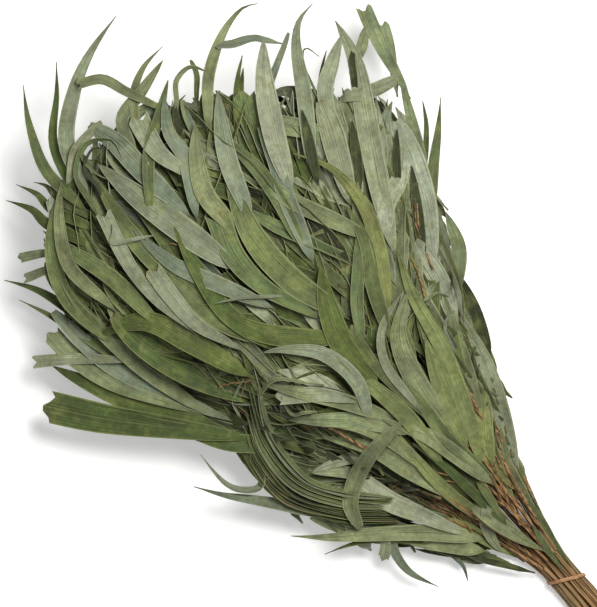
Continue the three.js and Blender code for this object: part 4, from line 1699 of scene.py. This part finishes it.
@dataclass
class TopLeaves:
    """The leaves that lie uppermost, placed one by one, and the sheaf of leaves that stand on edge."""

    layout: Layout
    finishes: Finishes
    grid: tuple[int, int] = (20, 6)
    sheaf_count: int = 15
    sheaf_width: Span = (7.0, 11.0)
    sheaf_tones: tuple[Tone, ...] = (
        Tone.SAGE, Tone.GREEN, Tone.PALE, Tone.DEEP, Tone.SAGE, Tone.OLIVE, Tone.DRY,
    )
    sunk: float = -0.5
    hidden_length: float = 15.0
    hidden_depth: float = 9.0
    neck_length: float = 60.0

    def build(self) -> None:
        """Builds each region's leaves, one piece for each of its slots."""
        regions = {
            "left_wing": LEFT_WING,
            "far_tips": FAR_TIPS,
            "middle": MIDDLE,
            "right_wing": RIGHT_WING,
            "right_rim": RIGHT_RIM,
            "lower_middle": LOWER_MIDDLE,
            "left_rim": LEFT_RIM + self.sheaf(),
        }
        for number, (region, strands) in enumerate(regions.items()):
            palette = Palette(3000 + number)
            for slot in (Slot.SAGE, Slot.GREY_GREEN, Slot.OLIVE):
                chosen = [strand for strand in strands if strand.tone.value.slot is slot]
                if chosen:
                    self.build_piece(f"top_leaves_{region}_{slot.name.lower()}", slot, chosen, palette)

    def root(self, spine: list[Vector]) -> Vector:
        """Returns where a leaf comes up from between its neighbours, behind its visible base."""
        back = (spine[0] - spine[1]).normalized() * self.hidden_length
        return Vector((spine[0].x + back.x, spine[0].y + back.y, max(1.5, spine[0].z - self.hidden_depth)))

    def drying(self, width: float) -> float:
        """Returns how much of its width a leaf has kept in drying: the broadest have shrunk most."""
        return lerp(1.0, 0.84, smooth(width, 10.0, 22.0))

    def sheaf(self) -> tuple[Strand, ...]:
        """Returns leaves that stand nearly on edge, side by side, and arch over together."""
        chance = random.Random(41)
        strands = []
        for i in range(self.sheaf_count):
            share = i / (self.sheaf_count - 1)
            out = lerp(0.0, 26.0, share)
            route = (
                (lerp(150.0, 132.0, share), lerp(72.0, 84.0, share)),
                (lerp(172.0, 158.0, share), lerp(92.0, 110.0, share)),
                (200.0 + chance.uniform(-4, 4), 108.0 + out),
                (lerp(244.0, 236.0, share), 106.0 + 1.1 * out),
                (lerp(286.0, 246.0, share) + chance.uniform(-6, 6), lerp(86.0, 132.0, share)),
            )
            tone = chance.choice(self.sheaf_tones)
            roll = chance.uniform(48.0, 74.0)
            width = chance.uniform(*self.sheaf_width)
            lift = (9 - 8 * share, 8 - 9 * share)
            strands.append(Strand(tone, width, route, lift, Tip.POINTED, (roll, roll - 18.0)))
        return tuple(strands)

    def build_piece(self, name: str, slot: Slot, strands: list[Strand], palette: Palette) -> None:
        """Builds one slot's share of a region.

        Args:
            name: The piece's name.
            slot: The material slot.
            strands: The leaves.
            palette: Varies their colours.
        """
        heap = Heap(bundle_middle=self.layout.tie().z / MM)
        chance = palette.chance
        piece = Piece(name, self.layout)
        sheets = []
        for strand in strands:
            last = len(strand.route) - 1
            spine = [
                Vector((x, y, max(1.5, heap.surface(x, y) - self.sunk + lerp(*strand.lift, i / last))))
                for i, (x, y) in enumerate(strand.route)
            ]
            if spine[0].x > self.neck_length:
                spine.insert(0, self.root(spine))
            blade = Blade(
                spine=spine,
                width=strand.width * self.drying(strand.width),
                colour=palette.shade(strand.tone, spread=0.12),
                roll=strand.roll,
                fold=chance.uniform(4.0, 30.0),
                wave=chance.uniform(0.03, 0.14),
                waves=chance.uniform(1.0, 2.4),
                phase=chance.uniform(0.0, 6.0),
                tip=strand.tip,
                grid=self.grid,
            )
            sheets += blade.add_to(piece)
        thicken(piece, sheets)
        piece.hand_over((self.finishes.leaves[slot],))


@dataclass(frozen=True)
class Sprig:
    """One bare dry twig on top of the heap.

    Attributes:
        route: Points of the plan that it is led through.
        lift: How far its two ends lie over the topmost leaves.
        thickness: Its diameter at its two ends.
    """

    route: tuple[Point, ...]
    lift: Span = (1.0, 2.0)
    thickness: Span = (1.8, 1.0)


SPRIGS = (
    Sprig(((20, 6), (60, 16), (100, 24), (150, 32), (196, 30)), (0, 4), (2.6, 1.2)),
    Sprig(((18, 9), (56, 22), (92, 38), (124, 58)), (0, 2), (2.6, 1.2)),
    Sprig(((22, 2), (70, 6), (118, 14), (164, 24)), (1, 3), (2.8, 1.2)),
    Sprig(((20, -2), (66, -2), (112, 2), (150, 12)), (1, 3), (2.8, 1.3)),
    Sprig(((22, -6), (70, -8), (116, -10), (158, -6)), (1, 3), (2.8, 1.3)),
    Sprig(((24, -9), (66, -13), (104, -18), (140, -30)), (1, 2), (2.6, 1.2)),
    Sprig(((24, -12), (60, -17), (94, -24), (128, -38)), (0, 1), (2.4, 1.1)),
    Sprig(((58, 0), (88, -6), (110, -16), (124, -30)), (2, 2), (1.6, 0.8)),
    Sprig(((62, -4), (92, 4), (116, 16), (134, 32)), (2, 2), (1.6, 0.8)),
    Sprig(((70, 4), (98, 8), (128, 20), (150, 40)), (2, 3), (1.5, 0.8)),
    Sprig(((74, -10), (96, -6), (120, -4), (146, 2)), (3, 3), (1.4, 0.8)),
    Sprig(((80, 0), (104, -8), (122, -20)), (3, 2), (1.3, 0.7)),
    Sprig(((84, -14), (102, -12), (128, -16)), (3, 3), (1.2, 0.7)),
    Sprig(((52, 26), (70, 34), (96, 34), (128, 44)), (1, 2), (1.4, 0.8)),
    Sprig(((356, 34), (382, 44), (408, 56), (438, 66)), (2, 3), (2.2, 1.0)),
    Sprig(((372, 40), (396, 46), (424, 52)), (3, 3), (1.4, 0.7)),
    Sprig(((380, 44), (400, 58), (412, 68)), (3, 3), (1.4, 0.7)),
    Sprig(((386, 46), (408, 48), (430, 62)), (4, 3), (1.2, 0.6)),
    Sprig(((248, -58), (264, -66), (286, -72)), (2, 2), (1.6, 0.8)),
    Sprig(((262, -78), (284, -86), (304, -98), (322, -114)), (6, 7), (2.0, 0.9)),
    Sprig(((276, -84), (296, -90), (314, -104)), (7, 7), (1.3, 0.7)),
    Sprig(((282, -34), (300, -46), (318, -62)), (3, 3), (1.3, 0.7)),
    Sprig(((262, 112), (278, 112), (292, 108)), (5, 6), (1.4, 0.9)),
    Sprig(((270, 112), (282, 106), (290, 92)), (5, 6), (1.4, 0.9)),
    Sprig(((288, 92), (296, 104), (302, 118)), (5, 6), (1.3, 0.8)),
)


@dataclass
class DrySprigs:
    """The bare brown twigs that show between the leaves, most of them where the stems part."""

    layout: Layout
    finishes: Finishes
    rings: int = 16
    sides: int = 7
    wander: float = 0.5

    def build(self) -> None:
        """Builds all the twigs as one piece."""
        chance = random.Random(55)
        heap = Heap(bundle_middle=self.layout.tie().z / MM)
        piece = Piece("dry_sprigs", self.layout)
        for sprig in SPRIGS:
            last = len(sprig.route) - 1
            spine = [
                Vector((x, y, heap.surface(x, y) - 1.5 + lerp(*sprig.lift, i / last)))
                for i, (x, y) in enumerate(sprig.route)
            ]
            line = [
                point + Vector([chance.uniform(-1, 1) * self.wander for _ in range(3)])
                for point in stations(spine, self.rings)
            ]
            start, end = sprig.thickness
            sweep(
                piece,
                line,
                circle(lambda ring, corner: lerp(start, end, ring / self.rings) / 2.0, self.sides),
                self.sides,
            )
        bmesh.ops.recalc_face_normals(piece.bm, faces=piece.bm.faces)
        piece.hand_over((self.finishes.sprig,))


@dataclass
class RubberBand:
    """The rubber band: one strip that grips the bundle along its six sides and round its six corners."""

    layout: Layout
    finishes: Finishes
    width: float = 3.0
    thickness: float = 1.2
    clearance: float = 0.1
    slant: float = 5.5
    points_per_corner: int = 5
    section_sides: int = 12
    roundness: float = 0.45

    def build(self) -> None:
        """Builds the band as one closed loop."""
        rows, pitch = self.layout.rows, self.layout.pitch
        half_wide = (max(rows) - 1) * pitch / 2.0
        half_high = (len(rows) - 1) * self.layout.row_rise / 2.0
        narrow = (rows[0] - 1) / (max(rows) - 1)
        middle = self.layout.tie().z / MM
        radius = self.layout.stem_diameter / 2.0 + self.clearance + self.thickness / 2.0
        line = []
        for corner in range(6):
            turn = corner * math.pi / 3.0
            across = math.copysign(1.0, math.cos(turn)) * half_wide * (narrow if corner % 3 else 1.0)
            up = (0.0, 1.0, 1.0, 0.0, -1.0, -1.0)[corner] * half_high
            for i in range(self.points_per_corner):
                at = turn - math.pi / 6.0 + math.pi / 3.0 * i / (self.points_per_corner - 1)
                y = across + radius * math.cos(at)
                line.append(Vector((self.slant * y / half_wide, y, middle + up + radius * math.sin(at))))

        def section(ring: int, corner: int) -> Point:
            """Places one corner of the strip's rounded section.

            Args:
                ring: The ring's number.
                corner: The corner's number.

            Returns:
                The corner, sideways and upwards.
            """
            turn = 2.0 * math.pi * corner / self.section_sides
            x, y = math.cos(turn), math.sin(turn)
            return (
                math.copysign(abs(x) ** self.roundness, x) * self.thickness / 2.0,
                math.copysign(abs(y) ** self.roundness, y) * self.width / 2.0,
            )

        piece = Piece("rubber_band_loop", self.layout)
        sweep(piece, line, section, self.section_sides, closed=True, upright=Vector((1.0, 0.0, 0.0)))
        bmesh.ops.recalc_face_normals(piece.bm, faces=piece.bm.faces)
        piece.hand_over((self.finishes.rubber,), "tie_band")


@dataclass
class Studio:
    """The floor, the soft lights and the camera that looks straight down on the bunch."""

    layout: Layout
    finishes: Finishes
    view_middle: Point = (310.0, 21.6)
    view_height: float = 486.0
    focus_height: float = 70.0
    turn: float = -130.2
    lens: float = 400.0
    sensor: float = 36.0
    floor_size: float = 16.0

    def build(self) -> None:
        """Builds the whole studio."""
        self.build_floor()
        self.build_lights()
        self.build_camera()

    def build_floor(self) -> None:
        """Lays a plain floor at the height that the bunch lies on."""
        bm = bmesh.new()
        bmesh.ops.create_grid(bm, x_segments=1, y_segments=1, size=self.floor_size / 2.0)
        mesh = bpy.data.meshes.new("floor")
        bm.to_mesh(mesh)
        bm.free()
        mesh.materials.append(self.finishes.floor)
        floor = bpy.data.objects.new("floor", mesh)
        bpy.context.scene.collection.objects.link(floor)

    def lamp(
        self, name: str, place: tuple[float, float, float], size: float, power: float, colour: Colour
    ) -> None:
        """Hangs a square soft lamp that faces the middle of the view.

        Args:
            name: The lamp's name.
            place: Where it hangs, in metres.
            size: The length of its side, in metres.
            power: Its power, in watts.
            colour: The colour of its light.
        """
        light = bpy.data.lights.new(name, "AREA")
        light.shape = "SQUARE"
        light.size = size
        light.energy = power
        light.color = colour
        lamp = bpy.data.objects.new(name, light)
        lamp.location = place
        lamp.rotation_euler = (Vector((0.0, 0.0, 0.05)) - Vector(place)).to_track_quat("-Z", "Y").to_euler()
        bpy.context.scene.collection.objects.link(lamp)

    def build_lights(self) -> None:
        """Hangs a large key lamp, a fill lamp opposite it, and an even white sky."""
        self.lamp("key_lamp", (0.1, -0.55, 1.5), 0.6, 28.5, (1.0, 0.985, 0.96))
        self.lamp("fill_lamp", (-0.5, 1.1, 1.3), 1.4, 3.5, (0.95, 0.98, 1.0))
        world = bpy.data.worlds.new("studio")
        world.use_nodes = True
        sky = world.node_tree.nodes["Background"]
        sky.inputs["Color"].default_value = (1.0, 1.0, 1.0, 1.0)
        sky.inputs["Strength"].default_value = 0.24
        bpy.context.scene.world = world

    def build_camera(self) -> None:
        """Hangs the camera straight over the bunch."""
        data = bpy.data.cameras.new("camera")
        data.sensor_width = self.sensor
        data.lens = self.lens
        middle = self.layout.to_frame() @ Vector((*self.view_middle, self.focus_height))
        distance = self.view_height * MM * self.lens / self.sensor
        camera = bpy.data.objects.new("camera", data)
        camera.location = middle + UP * distance
        camera.rotation_euler = (0.0, 0.0, math.radians(self.turn))
        bpy.context.scene.collection.objects.link(camera)
        bpy.context.scene.camera = camera
        bpy.context.scene.view_settings.view_transform = "Standard"


def main() -> None:
    """Builds the bunch and its studio, one sub-assembly after the other."""
    logging.basicConfig(level=logging.INFO, format="%(name)s: %(message)s")
    layout = Layout()
    finishes = Finishes()
    StemBundle(layout, finishes).build()
    Foliage(layout, finishes).build()
    Mantle(layout, finishes).build()
    TopLeaves(layout, finishes).build()
    DrySprigs(layout, finishes).build()
    RubberBand(layout, finishes).build()
    Studio(layout, finishes).build()


if __name__ == "__main__":
    main()
